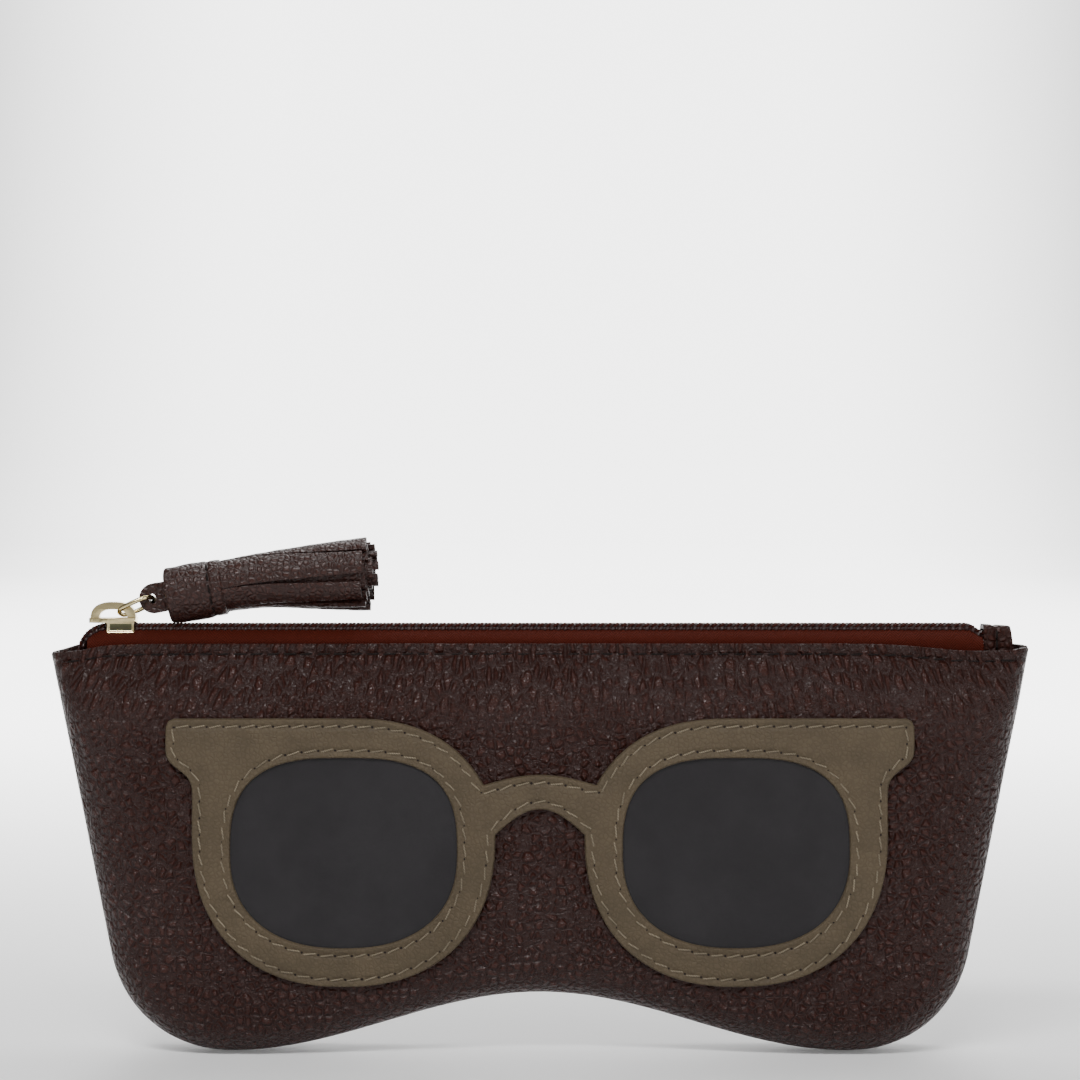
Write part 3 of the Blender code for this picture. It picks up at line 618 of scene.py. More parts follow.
def distance_to(loops, x, z):
    """How far points are from the nearest of several closed lines."""
    here = np.stack([x, z], axis=-1)
    nearest = np.full(len(x), 1.0)
    for loop in loops:
        for a, b in zip(loop, loop[1:] + loop[:1]):
            nearest = np.minimum(nearest, from_stretch(here, a, b)[0])
    return nearest

EDGE_RINGS = (0.0, 0.03 * MM, 0.09 * MM, 0.18 * MM, 0.34 * MM)


def ringed_shape(name, loops):
    """A filled outline in the XZ plane with narrow rings of faces along its edges."""
    verts = []
    faces = []
    inner = []
    for k, loop in enumerate(loops):
        inward = 1 if k else -1
        for ring in EDGE_RINGS:
            moved = offset_loop(loop, inward * ring)
            base = len(verts)
            verts += [(p.x, 0.0, p.y) for p in moved]
            if ring:
                count = len(moved)
                for i in range(count):
                    j = (i + 1) % count
                    faces.append((base - count + i, base - count + j, base + j, base + i))
        inner.append(moved)
    mesh = bpy.data.meshes.new(name + "_rings")
    mesh.from_pydata(verts, [], faces)
    rings = bpy.data.objects.new(name + "_rings", mesh)
    bpy.context.scene.collection.objects.link(rings)
    ob = joined(name, [flat_shape(name, inner, 0.0), rings])
    face_outwards(ob)
    return ob


def laid_patch(name, loops, spacing, proud, thickness):
    """A filled outline cut into small faces and laid on the pouch's front, proud(x, z) above the leather."""
    ob = ringed_shape(name, loops)
    flip_if_facing(ob, Vector((0, -1, 0)))
    make_active(ob)
    bpy.ops.object.mode_set(mode="EDIT")
    places = [p for loop in loops for p in loop]
    for axis, low, high in (
        (0, min(p.x for p in places), max(p.x for p in places)),
        (2, min(p.y for p in places), max(p.y for p in places)),
    ):
        across = Vector((1, 0, 0)) if axis == 0 else Vector((0, 0, 1))
        for k in range(1, math.ceil((high - low) / spacing)):
            bpy.ops.mesh.select_all(action="SELECT")
            bpy.ops.mesh.bisect(plane_co=across * (low + k * spacing), plane_no=across)
    bpy.ops.mesh.select_all(action="SELECT")
    bpy.ops.mesh.remove_doubles(threshold=0.01 * MM)
    bpy.ops.object.mode_set(mode="OBJECT")
    flat = vertex_places(ob)
    x = flat[:, 0]
    z = flat[:, 2]
    y = face_y(x, z, FRONT, proud(x, z))
    move_vertices(ob, x, y, z)
    flip_if_facing(ob, Vector((0, -1, 0)))
    modify(ob, "SOLIDIFY", thickness=thickness, offset=-1.0)
    shade_round(ob, 60)
    return ob


APPLIQUE_TOP = 1.15 * MM
APPLIQUE_ROUND = 0.36 * MM
STITCH_INSET = 1.55 * MM


def rounded_edge(distance, radius):
    share = np.clip(distance / radius, 0.0, 1.0)
    return np.sqrt(1 - (1 - share) ** 2)


def applique_lines():
    """The overlay's outlines and the lines that its stitches follow."""
    loops = [smooth_loop(points, 0.62 * MM) for points in face_loops("spectacle_applique")]
    stitched = []
    for k, loop in enumerate(loops):
        moved = offset_loop(loop, STITCH_INSET if k else -STITCH_INSET)
        x = np.array([p.x for p in moved])
        z = np.array([p.y for p in moved])
        clear = distance_to([loop], x, z) > 0.985 * STITCH_INSET
        stitched.append([p for p, keep in zip(moved, clear) if keep])
    return loops, stitched


def stitch_groove(distance):
    return -0.3 * MM * hump(distance, 0.0, 0.55 * MM)


def applique_height(x, z, loops, stitched):
    edge = rounded_edge(distance_to(loops, x, z), APPLIQUE_ROUND)
    uneven = 0.07 * MM * spread((x, z), 2.2 * MM, 4.4) + 0.12 * MM * spread((x, z), 6 * MM, 6.1)
    return APPLIQUE_TOP * edge + (stitch_groove(distance_to(stitched, x, z)) + uneven) * edge**2


def corner_runs(path, closed):
    """A path in (x, z) cut into runs at its corners, so that stitches meet there."""
    if not closed:
        return [path]
    count = len(path)
    corners = []
    for k in range(count):
        bend = turning(path[k - 2], path[k], path[(k + 2) % count])
        if bend > STITCH_CORNER and (not corners or k - corners[-1] > 4):
            corners.append(k)
    if not corners:
        return [path + path[:1]]
    runs = []
    for here, after in zip(corners, corners[1:] + [corners[0] + count]):
        runs.append([path[k % count] for k in range(here, after + 1)])
    return runs


def stitch_places(path, pitch, closed):
    """Starts, middles and directions of the stitches along a path in (x, z)."""
    starts, middles, ways = [], [], []
    for points in corner_runs(path, closed):
        total = path_length(points)
        count = max(round(total / pitch), 1)
        steps = at_lengths(points, np.linspace(0.0, total * 0.99999, count + 1))
        starts.append(steps[:-1])
        middles.append(at_lengths(points, (np.arange(count) + 0.5) * total / count))
        ways.append(np.diff(steps, axis=0))
    return np.concatenate(starts), np.concatenate(middles), np.concatenate(ways)


def surface_frames(places, ways, height, side):
    """A placing for each point: X along its way, Y out of the leather."""
    step = 0.15 * MM

    def at(x, z):
        return face_y(x, z, side, height(x, z))

    x = places[:, 0]
    z = places[:, 1]
    y = at(x, z)
    slope_x = (at(x + step, z) - at(x - step, z)) / (2 * step)
    slope_z = (at(x, z + step) - at(x, z - step)) / (2 * step)
    made = []
    for k in range(len(x)):
        normal = Vector((slope_x[k], -1.0, slope_z[k])).normalized() * -side
        along = Vector((ways[k][0], slope_x[k] * ways[k][0] + slope_z[k] * ways[k][1], ways[k][1])).normalized()
        across = along.cross(normal).normalized()
        turn = Matrix((along, normal, across)).transposed().to_4x4()
        turn.translation = (x[k], y[k], z[k] + rim_shift(x[k], z[k], side))
        made.append(turn)
    return made


def stitch_master(length, radius, finish):
    """One stitch, arched, its ends diving into the leather."""
    path = []
    for k in range(8):
        t = -1 + 2 * k / 7
        path.append((t * length / 2, radius * 0.75 - (radius * 2.4) * abs(t) ** 5, 0.0))
    ob = wire("stitch", [path], radius, sides=1)
    ob.data.materials.append(finish)
    return ob


def needle_hole(radius, finish):
    """A dark flat dome where the needle went through: painted shade standing for the hole's dimple."""
    deselect()
    bpy.ops.mesh.primitive_uv_sphere_add(segments=8, ring_count=4, radius=radius)
    ob = bpy.context.active_object
    ob.scale = (0.75, 0.2, 1.25)
    settle(ob)
    ob.data.materials.append(finish)
    shade_round(ob, 80)
    return ob


def stitch_row(name, paths, height, side, finish, closed, pitch, radius=0.17 * MM, slant=11):
    """Rows of stitches with dark domes between them, painted shade of the needle holes, as one piece."""
    # The needle holes are painted shade: dark domes in the dark thread's colour.
    painted_hole_shade = thread_dark()
    stitches = []
    holes = []
    for path in paths:
        starts, middles, ways = stitch_places(path, pitch, closed)
        stitches += surface_frames(middles, ways, height, side)
        holes += surface_frames(starts, ways, height, side)
    for k, place in enumerate(stitches):
        wobble = math.radians(slant + 3 * math.sin(k * 2.3))
        length = Matrix.Diagonal((1 + 0.04 * math.sin(k * 5.1), 1, 1, 1))
        stitches[k] = place @ Matrix.Rotation(wobble, 4, "Y") @ length
    thread = copies(name + "_stitches", stitch_master(pitch - 0.45 * MM, radius, finish), stitches)
    dark = copies(name + "_holes", needle_hole(0.36 * MM, painted_hole_shade), holes)
    return joined(name, [thread, dark])


# Zip


def tail_path(side, y_offset=0.0, lift=0.0, step=0.15 * MM):
    """The middle line of a coil from the left corner to inside the end tab, in even steps."""
    y = MID_Y + side * (COIL_Y + y_offset)
    centre_z = COIL_Z - TAIL_RADIUS
    radius = TAIL_RADIUS + lift
    points = [Vector((TAIL_X - radius, y, centre_z - 2.0 * MM))]
    for k in range(19):
        angle = math.pi - math.pi / 2 * k / 18
        points.append(Vector((TAIL_X + radius * math.cos(angle), y, centre_z + radius * math.sin(angle))))
    for k in range(1, 200):
        x = TAIL_X + (COIL_HIGH[0] - TAIL_X) * k / 199
        dip = COIL_DIP * smoothstep((x - DIP_START) / (3.0 * MM))
        points.append(Vector((x, y, COIL_Z + lift - dip)))
    count = int(path_length(points) / step)
    return at_lengths(points, np.linspace(0, path_length(points), count))


def wound(path, pitch, reach_y, reach_up, phase, side):
    """A helix wound round a path that lies in an XZ plane."""
    ahead = np.gradient(path, axis=0)
    ahead /= np.linalg.norm(ahead, axis=1)[:, None]
    up = np.stack([-ahead[:, 2], 0 * ahead[:, 0], ahead[:, 0]], axis=-1)
    walked = np.concatenate([[0], np.cumsum(np.linalg.norm(np.diff(path, axis=0), axis=1))])
    angle = 2 * math.pi * walked / pitch + phase
    beside = np.array([0.0, float(side), 0.0])
    return path + np.cos(angle)[:, None] * beside * reach_y + np.sin(angle)[:, None] * up * reach_up


def make_coil(name, side, pitch, coil, cord):
    """The coil's turns, and the two-strand cord that is sewn along it."""
    middle = tail_path(side, lift=-0.2 * MM)
    turns = wound(middle, pitch, 0.48 * MM, 0.12 * MM, 0.0 if side > 0 else math.pi, side)
    ob = wire(name, [turns], 0.4 * MM, sides=2)
    core = wire(name + "_core", [middle[::6]], 0.36 * MM, sides=2)
    ob = joined(name, [ob, core])
    ob.data.materials.append(coil)
    pieces = [ob]
    line = tail_path(side, 0.08 * MM, 0.5 * MM, 0.17 * MM)
    # One strand takes the rust cord colour and the other the dark coil colour, so the twist shows as light and
    # dark bands: the rust is the cord's own colour, the dark strand is painted shade.
    for phase, finish in ((0.0, coil), (math.pi, cord)):
        twist = wound(line, 1.5 * MM, 0.2 * MM, 0.2 * MM, phase, side)
        strand = wire(name + "_strand", [twist], 0.24 * MM, sides=1)
        strand.data.materials.append(finish)
        pieces.append(strand)
    return joined(name, pieces)


def tape_edge(x):
    """Height of a tape's upper edge, inside its coil."""
    clear = 0.45 * MM
    radius = TAIL_RADIUS - clear
    curve = COIL_Z - TAIL_RADIUS + np.sqrt(np.maximum(radius**2 - (x - TAIL_X) ** 2, 0.0))
    dip = COIL_DIP * smoothstep((x - DIP_START) / (3.0 * MM))
    return np.where(x < TAIL_X, curve, COIL_Z - clear - dip)


def make_tape(name, side):
    """Woven tape from behind the rim up to the coil."""
    low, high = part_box(name)
    columns = 150
    hidden = 5
    shown = 9
    ob, column, row = grid(name, columns, hidden + shown)
    x = low[0] + (high[0] - low[0]) * column / (columns - 1)
    rim = rim_z(x)
    foot_y = half_depth(x, rim - 1 * MM) - 1.55 * MM
    below = 5.5 * MM * (hidden - np.minimum(row, hidden)) / hidden
    t = np.maximum(row - hidden, 0) / (shown - 1)
    edge = tape_edge(x)
    wave = 0.18 * MM * spread((x, 0 * x), 11 * MM, 3.0 + side) * np.sin(t * math.pi)
    knee_z = rim + (edge - rim) * 0.62
    y = (1 - t) ** 2 * foot_y + 2 * t * (1 - t) * foot_y * 0.97 + t**2 * COIL_Y + wave
    z = (1 - t) ** 2 * rim + 2 * t * (1 - t) * knee_z + t**2 * edge - below
    move_vertices(ob, x, MID_Y + side * y, z)
    flip_if_facing(ob, Vector((0, side, 0)))
    modify(ob, "SOLIDIFY", thickness=0.4 * MM, offset=0.0)
    shade_round(ob, 50)
    return ob


def make_tab():
    """Leather folded over the zip's right end, its legs inside the mouth."""
    left, right = TAB_LOW[0], TAB_HIGH[0]
    half = (TAB_HIGH[1] - TAB_LOW[1]) / 2 - 0.05 * MM
    top = TAB_HIGH[2]
    bottom = TAB_LOW[2]
    bend = 1.7 * MM
    profile = [Vector((-half, bottom + (top - bend - bottom) * k / 14)) for k in range(15)]
    for k in range(1, 10):
        angle = math.pi - math.pi / 2 * k / 9
        profile.append(Vector((-half + bend + bend * math.cos(angle), top - bend + bend * math.sin(angle))))
    profile += [Vector((-half * 0.48 * (4 - k) / 4, top)) for k in range(1, 4)]
    profile += [Vector((-p.x, p.y)) for p in reversed(profile)]
    columns = 16
    ob, column, row = grid("zip_end_tab", columns, len(profile))
    t = column / (columns - 1)
    outline = np.array([(p.x, p.y) for p in profile])[row]
    width = right - left - 1.0 * MM
    lean = 1.0 * MM * (top - outline[:, 1]) / (top - bottom) * t
    x = left + width * t + lean
    crease = hump(t, 0.42, 0.06)
    y = outline[:, 0] * (1 - 0.1 * crease)
    z = outline[:, 1] - 0.35 * MM * t - 0.25 * MM * crease * (outline[:, 1] > top - bend)
    rough = 0.12 * MM * np.array([noise.noise((a * 700, b * 700, c * 700)) for a, b, c in zip(x, y, z)])
    move_vertices(ob, x, MID_Y + y + rough, z)
    flip_if_facing(ob, Vector((0, 0, 1)))
    top_face = max(ob.data.polygons, key=lambda p: p.center.z)
    if top_face.normal.z < 0:
        turn_over(ob)
    modify(ob, "SOLIDIFY", thickness=1.0 * MM, offset=-1.0)
    bevel_edges(ob, 0.3 * MM, 2, 62)
    shade_round(ob, 50)
    return ob


# Slider and ring


def plate(name, low, high, rounding):
    """A block between two corners with rounded edges."""
    deselect()
    middle = [(a + b) / 2 for a, b in zip(low, high)]
    bpy.ops.mesh.primitive_cube_add(size=1, location=middle)
    ob = bpy.context.active_object
    ob.name = name
    ob.scale = [b - a for a, b in zip(low, high)]
    settle(ob)
    if rounding:
        modify(ob, "BEVEL", width=rounding, segments=3)
    return ob


def framed_plate(name, low, high, side):
    """A slider flange: a bright frame round a sunk window on its outer face."""
    ob = plate(name, low, high, 0.0)
    make_active(ob)
    bpy.ops.object.mode_set(mode="EDIT")
    bpy.ops.mesh.select_mode(type="FACE")
    bpy.ops.mesh.select_all(action="DESELECT")
    bpy.ops.object.mode_set(mode="OBJECT")
    for face in ob.data.polygons:
        face.select = face.normal.y * side > 0.9
    bpy.ops.object.mode_set(mode="EDIT")
    bpy.ops.mesh.inset(thickness=0.4 * MM)
    bpy.ops.transform.translate(value=(0, -side * 0.4 * MM, 0))
    bpy.ops.object.mode_set(mode="OBJECT")
    modify(ob, "BEVEL", width=0.09 * MM, segments=2)
    return ob


def make_slider_body():
    low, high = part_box("slider_body")
    top = high[2]
    under = top - 0.6 * MM
    outer = (high[1] - low[1]) / 2
    inner = outer - 0.6 * MM
    flange_left = low[0] + 3.8 * MM
    flange_bottom = COIL_Z - 0.9 * MM
    half = [Vector((high[0], 0.0)), Vector((high[0], outer)), Vector((flange_left + 0.3 * MM, outer))]
    for k in range(9):
        angle = math.pi / 2 * k / 8
        x = low[0] + (flange_left - low[0]) * (1 - math.sin(angle) ** 0.9)
        half.append(Vector((x, outer * (0.34 + 0.66 * math.cos(angle) ** 0.8))))
    outline = half[1:] + [Vector((p.x, -p.y)) for p in reversed(half[1:])]
    thick = 0.95 * MM
    top_plate = flat_shape("slider_body", [outline], thick)
    top_plate.data.transform(Matrix.Rotation(-math.pi / 2, 4, "X"))
    top_plate.data.transform(Matrix.Translation((0, MID_Y, under + thick / 2)))
    bevel_edges(top_plate, 0.2 * MM, 3, 40)
    pieces = [top_plate]
    for side, word in SIDES:
        near = sorted((MID_Y + side * inner, MID_Y + side * outer))
        place = (flange_left, near[0], flange_bottom), (high[0] - 0.05 * MM, near[1], under + 0.35 * MM)
        pieces.append(framed_plate(word + "_flange", *place, side))
    lower_top = COIL_Z - COIL_RADIUS - 0.6 * MM
    pieces.append(
        plate(
            "lower_plate",
            (flange_left + 0.4 * MM, MID_Y - 0.9 * MM, lower_top - 0.5 * MM),
            (high[0] - 0.3 * MM, MID_Y + 0.9 * MM, lower_top),
            0.12 * MM,
        )
    )
    pieces.append(
        plate(
            "post",
            (flange_left + 0.6 * MM, MID_Y - 0.25 * MM, lower_top - 0.25 * MM),
            (flange_left + 2.0 * MM, MID_Y + 0.25 * MM, under + 0.3 * MM),
            0.08 * MM,
        )
    )
    ob = joined("slider_body", pieces)
    face_outwards(ob)
    # The sunk window faces take the second material, metal darkened as painted shade.
    for face in ob.data.polygons:
        out = face.center.y - MID_Y
        upright = abs(face.normal.y) > 0.9 and flange_bottom < face.center.z < under
        if upright and abs(out) < outer - 0.3 * MM and face.area > 1e-6:
            face.material_index = int(face.normal.y * out > 0)
    shade_round(ob, 35)
    return ob


def make_bridge():
    """The arch over the slider that the ring hangs in."""
    low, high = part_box("slider_bridge")
    sunk = 0.4 * MM
    foot = ((low[0] + high[0]) / 2, low[2] - sunk)
    outer = ((high[0] - low[0]) / 2, high[2] - low[2] + sunk)
    inner = (outer[0] - 1.6 * MM, outer[1] - 1.45 * MM)
    steps = 36
    arch = [superellipse(foot, outer, 2.6, math.pi * k / steps) for k in range(steps + 1)]
    arch += [superellipse(foot, inner, 2.5, math.pi * k / steps) for k in range(steps, -1, -1)]
    ob = flat_shape("slider_bridge", [arch], 2.6 * MM)
    ob.data.transform(Matrix.Translation((0, MID_Y, 0)))
    bevel_edges(ob, 0.42 * MM, 5, 50)
    shade_round(ob, 40)
    return ob


def make_ring():
    away = TASSEL_PIVOT - RING_PIVOT
    tilt = math.atan2(away.z, away.x)
    half = (away.length / 2, 3.2 * MM)
    steps = 72
    loop = []
    for k in range(steps):
        flat = superellipse((half[0], 0.0), half, 2.8, 2 * math.pi * k / steps)
        loop.append(Vector((flat.x, flat.y, 0.0)))
    roll = Matrix.Rotation(math.radians(-16), 4, "X")
    place = Matrix.Translation(RING_PIVOT) @ Matrix.Rotation(-tilt, 4, "Y") @ roll
    ob = wire("pull_ring", [[place @ p for p in loop]], 0.47 * MM, sides=4, closed=True)
    return ob


# Tassel. Its own Z runs down the tassel from the ring, its -X looks up and its -Y to the front.

HEAD_RADIUS = 5.45 * MM
HEAD_START = 3.0 * MM
HEAD_END = 14.4 * MM
# Degrees above level
HEAD_TILT = 9.8
FRINGE_TILT = 3.6


def hung(ob):
    """Lays a tassel piece along the tassel's axis, which sags from the head to the cut ends."""
    flat = vertex_places(ob)
    reach = np.linspace(-6 * MM, 50 * MM, 400)
    sag = smoothstep((reach - HEAD_END) / (14 * MM))
    tilt = np.radians(HEAD_TILT + (FRINGE_TILT - HEAD_TILT) * sag)
    step = reach[1] - reach[0]
    along_x = np.cumsum(np.cos(tilt)) * step
    along_z = np.cumsum(np.sin(tilt)) * step
    along_x -= np.interp(0.0, reach, along_x)
    along_z -= np.interp(0.0, reach, along_z)
    s = flat[:, 2]
    lean = np.interp(s, reach, tilt)
    x = TASSEL_PIVOT.x + np.interp(s, reach, along_x) + np.sin(lean) * flat[:, 0]
    z = TASSEL_PIVOT.z + np.interp(s, reach, along_z) - np.cos(lean) * flat[:, 0]
    move_vertices(ob, x, TASSEL_PIVOT.y + flat[:, 1], z)
    return ob


def make_tassel_loop():
    """The band that holds the ring: a strip bent round it, both ends going into the head."""
    band = [Vector((-2.75 * MM, 4.2 * MM)), Vector((-2.95 * MM, 2.4 * MM))]
    for k in range(25):
        angle = math.pi * k / 24
        band.append(Vector((-3.0 * MM * math.cos(angle), 0.4 * MM - 3.0 * MM * math.sin(angle))))
    band += [Vector((2.95 * MM, 2.4 * MM)), Vector((2.75 * MM, 4.2 * MM))]
    hole = [superellipse((0.0, 0.0), (1.0 * MM, 0.74 * MM), 2.0, -2 * math.pi * k / 24) for k in range(24)]
    ob = flat_shape("tassel_loop", [band, hole], 3.7 * MM)
    bevel_edges(ob, 0.45 * MM, 4, 50)
    hung(ob)
    shade_round(ob, 50)
    return ob


def rolled(name, start, turn, reach, columns, rows, radius_at, thickness, ends=None):
    """A leather strip bent round the tassel's axis.

    start and turn are its first angle and its width, reach is (from, to) down the tassel,
    and radius_at(share round, share down) gives its radius.
    """
    ob, column, row = grid(name, columns, rows)
    round_share = column / (columns - 1)
    down = row / (rows - 1)
    angle = start + turn * round_share
    if ends is not None:
        angle = angle + ends(round_share, down)
    radius = radius_at(round_share, down)
    s = reach[0] + (reach[1] - reach[0]) * down
    move_vertices(ob, -radius * np.cos(angle), -radius * np.sin(angle), s)
    face = max(ob.data.polygons, key=lambda p: p.area)
    if face.normal.dot(Vector((face.center.x, face.center.y, 0))) < 0:
        turn_over(ob)
    modify(ob, "SOLIDIFY", thickness=thickness, offset=-1.0, material_offset_rim=1)
    return ob


def bumps(round_share, down, seed, size):
    """Low pebbles over a rolled strip."""
    return np.array([noise.noise((a * size[0], b * size[1], seed)) for a, b in zip(round_share, down)])


def make_head():
    """Leather wrapped once round the tassel's head, with a stitched crease near its end."""

    def radius(a, b):
        s = HEAD_START + (HEAD_END - HEAD_START) * b
        crease = 0.22 * MM * hump(s, HEAD_END - 2.6 * MM, 0.45 * MM)
        lip = 0.35 * MM * (1 - rounded_edge(np.minimum(s - HEAD_START, HEAD_END - s), 0.5 * MM))
        waist = 0.18 * MM * np.sin(b * math.pi)
        grain = 0.13 * MM * bumps(a, b, 2.0, (14, 7))
        return HEAD_RADIUS - 0.12 * MM + 0.3 * MM * a - crease - lip + waist + grain

    start, turn = math.radians(-150), math.radians(372)
    ob = rolled("tassel_head_wrap", start, turn, (HEAD_START, HEAD_END), 120, 42, radius, 1.0 * MM)
    bevel_edges(ob, 0.18 * MM, 2, 62)
    hung(ob)
    shade_round(ob, 50)
    return ob


def make_core():
    """The rolled strip inside the head, its windings visible from above."""

    def radius(a, b):
        return 0.5 * MM + 3.1 * MM * a

    ob = rolled("tassel_core", 0.0, math.radians(360 * 3), (3.5 * MM, HEAD_END), 110, 8, radius, 0.85 * MM)
    hung(ob)
    shade_round(ob, 50)
    return ob


# Each outer strip's two edges in degrees from the top, at the head and at its cut end, and its end in mm
OUTER_STRIPS = (
    (-50, 14, -8, 44, 43.2),
    (15.5, 94, 47, 87, 42.2),
    (95.5, 152, 100, 133, 41.9),
    (153.5, 190, 147, 165, 42.6),
    (191.5, 235, 172, 206, 43.0),
    (236.5, 290, 216, 262, 43.6),
    (291.5, 308.5, 276, 330, 43.9),
)


def make_fringe():
    """Strips in layers round each other, their cut ends spreading a little."""
    strips = []
    layers = ((5.15, 7.3, 0.0), (4.05, 6.0, 29.0), (2.95, 4.7, 71.0), (1.85, 3.4, 118.0))
    for level, (near, far, shift) in enumerate(layers):
        for k, (low, high, end_low, end_high, end) in enumerate(OUTER_STRIPS):
            seed = 1.7 * k + 11.0 * level
            lift = 0.22 * MM * math.sin(seed * 2.1)

            def radius(a, b, near=near, far=far, seed=seed, lift=lift):
                swell_out = near + (far - near) * smoothstep(b * 0.85) / float(smoothstep(0.85))
                curl = 0.3 * MM * (a - 0.5) ** 2 * 4 * smoothstep(b)
                return swell_out * MM + lift * b - curl + 0.12 * MM * bumps(a, b, seed, (4, 14))

            def sway(a, b, low=low, high=high, end_low=end_low, end_high=end_high, level=level):
                share = smoothstep(b) * (0.55 if level else 1.0)
                return np.radians((end_low - low) * share * (1 - a) + (end_high - high) * share * a)

            strips.append(
                rolled(
                    f"strip_{level}_{k}",
                    math.radians(low + shift),
                    math.radians(high - low),
                    (HEAD_END - 1.2 * MM, (end + 0.55 * level + 0.25 * math.sin(seed)) * MM),
                    14,
                    34,
                    radius,
                    1.0 * MM,
                    sway,
                )
            )
    ob = joined("tassel_fringe", strips)
    bevel_edges(ob, 0.14 * MM, 2, 62)
    hung(ob)
    shade_round(ob, 50)
    return ob


def make_tassel_stitches(finish):
    """A short row of stitches in the head's crease, on the front."""
    pitch = 2.4 * MM
    s = HEAD_END - 2.6 * MM
    radius = HEAD_RADIUS - 0.1 * MM
    places = []
    for k in range(6):
        angle = math.radians(38) + k * pitch / radius
        out = Vector((-math.cos(angle), -math.sin(angle), 0.0))
        along = Vector((math.sin(angle), -math.cos(angle), 0.0))
        turn = Matrix((along, out, along.cross(out))).transposed().to_4x4()
        turn.translation = out * radius + Vector((0, 0, s))
        places.append(turn)
    return hung(copies("tassel_thread", stitch_master(1.9 * MM, 0.2 * MM, finish), places))


# Materials


class Shader:
    """A material under construction: nodes are added by kind, with values or links for their inputs."""

    def __init__(self, name):
        self.material = bpy.data.materials.new(name)
        self.material.use_nodes = True
        self.tree = self.material.node_tree
        self.principled = self.tree.nodes["Principled BSDF"]
        self.place = self.add("ShaderNodeTexCoord").outputs["Object"]

    def add(self, kind, inputs=None, **settings):
        node = self.tree.nodes.new(kind)
        for key, value in settings.items():
            setattr(node, key, value)
        for key, value in (inputs or {}).items():
            self.feed(node.inputs[key], value)
        return node

    def feed(self, socket, value):
        if isinstance(value, bpy.types.NodeSocket):
            self.tree.links.new(value, socket)
        else:
            socket.default_value = value

    def finish(self, **inputs):
        for key, value in inputs.items():
            self.feed(self.principled.inputs[key.replace("_", " ")], value)
        return self.material

    def axes(self):
        return self.add("ShaderNodeSeparateXYZ", {"Vector": self.place}).outputs

    def math(self, operation, a, b=0.0):
        return self.add("ShaderNodeMath", {0: a, 1: b}, operation=operation).outputs[0]

    def plus(self, height, more, share):
        return self.math("ADD", height, self.math("MULTIPLY", more, share))

    def noise(self, scale, detail=4.0, roughness=0.55, place=None):
        inputs = {"Vector": place or self.place, "Scale": scale, "Detail": detail, "Roughness": roughness}
        return self.add("ShaderNodeTexNoise", inputs).outputs["Fac"]

    def between(self, value, low, high, to_low=0.0, to_high=1.0):
        inputs = {"Value": value, "From Min": low, "From Max": high, "To Min": to_low, "To Max": to_high}
        return self.add("ShaderNodeMapRange", inputs, interpolation_type="SMOOTHSTEP").outputs["Result"]

    def blend(self, share, a, b):
        node = self.add("ShaderNodeMix", data_type="RGBA")
        self.feed(node.inputs[0], share)
        self.feed(node.inputs[6], a)
        self.feed(node.inputs[7], b)
        return node.outputs[2]

    def shades(self, share, colour, low, high):
        """A colour between two gains of it."""
        return self.blend(share, tone(colour, low), tone(colour, high))

    def bump(self, height, distance, strength=1.0, onto=None):
        inputs = {"Height": height, "Distance": distance, "Strength": strength}
        if onto:
            inputs["Normal"] = onto
        return self.add("ShaderNodeBump", inputs).outputs["Normal"]

    def mapped(self, **settings):
        return self.add("ShaderNodeMapping", {"Vector": self.place, **settings}).outputs["Vector"]

    def vector_math(self, operation, inputs):
        return self.add("ShaderNodeVectorMath", inputs, operation=operation).outputs[0]

    def warped(self, place, scale, reach):
        """A place pushed about by noise."""
        waves = {"Vector": place, "Scale": scale, "Detail": 2.0}
        shift = self.add("ShaderNodeTexNoise", waves).outputs["Color"]
        centred = self.vector_math("SUBTRACT", {0: shift, 1: (0.5, 0.5, 0.5)})
        moved = self.vector_math("SCALE", {0: centred, "Scale": reach})
        return self.vector_math("ADD", {0: place, 1: moved})

    def pebbles(self, place, size):
        """Distance from the creases of a pebbled grain, 0 in a crease and up to about 0.5 inside a pebble."""
        inputs = {"Vector": place, "Scale": 1 / size, "Randomness": 0.9}
        return self.add("ShaderNodeTexVoronoi", inputs, feature="DISTANCE_TO_EDGE").outputs["Distance"]


def tone(colour, gain):
    return (colour[0] * gain, colour[1] * gain, colour[2] * gain, 1.0)


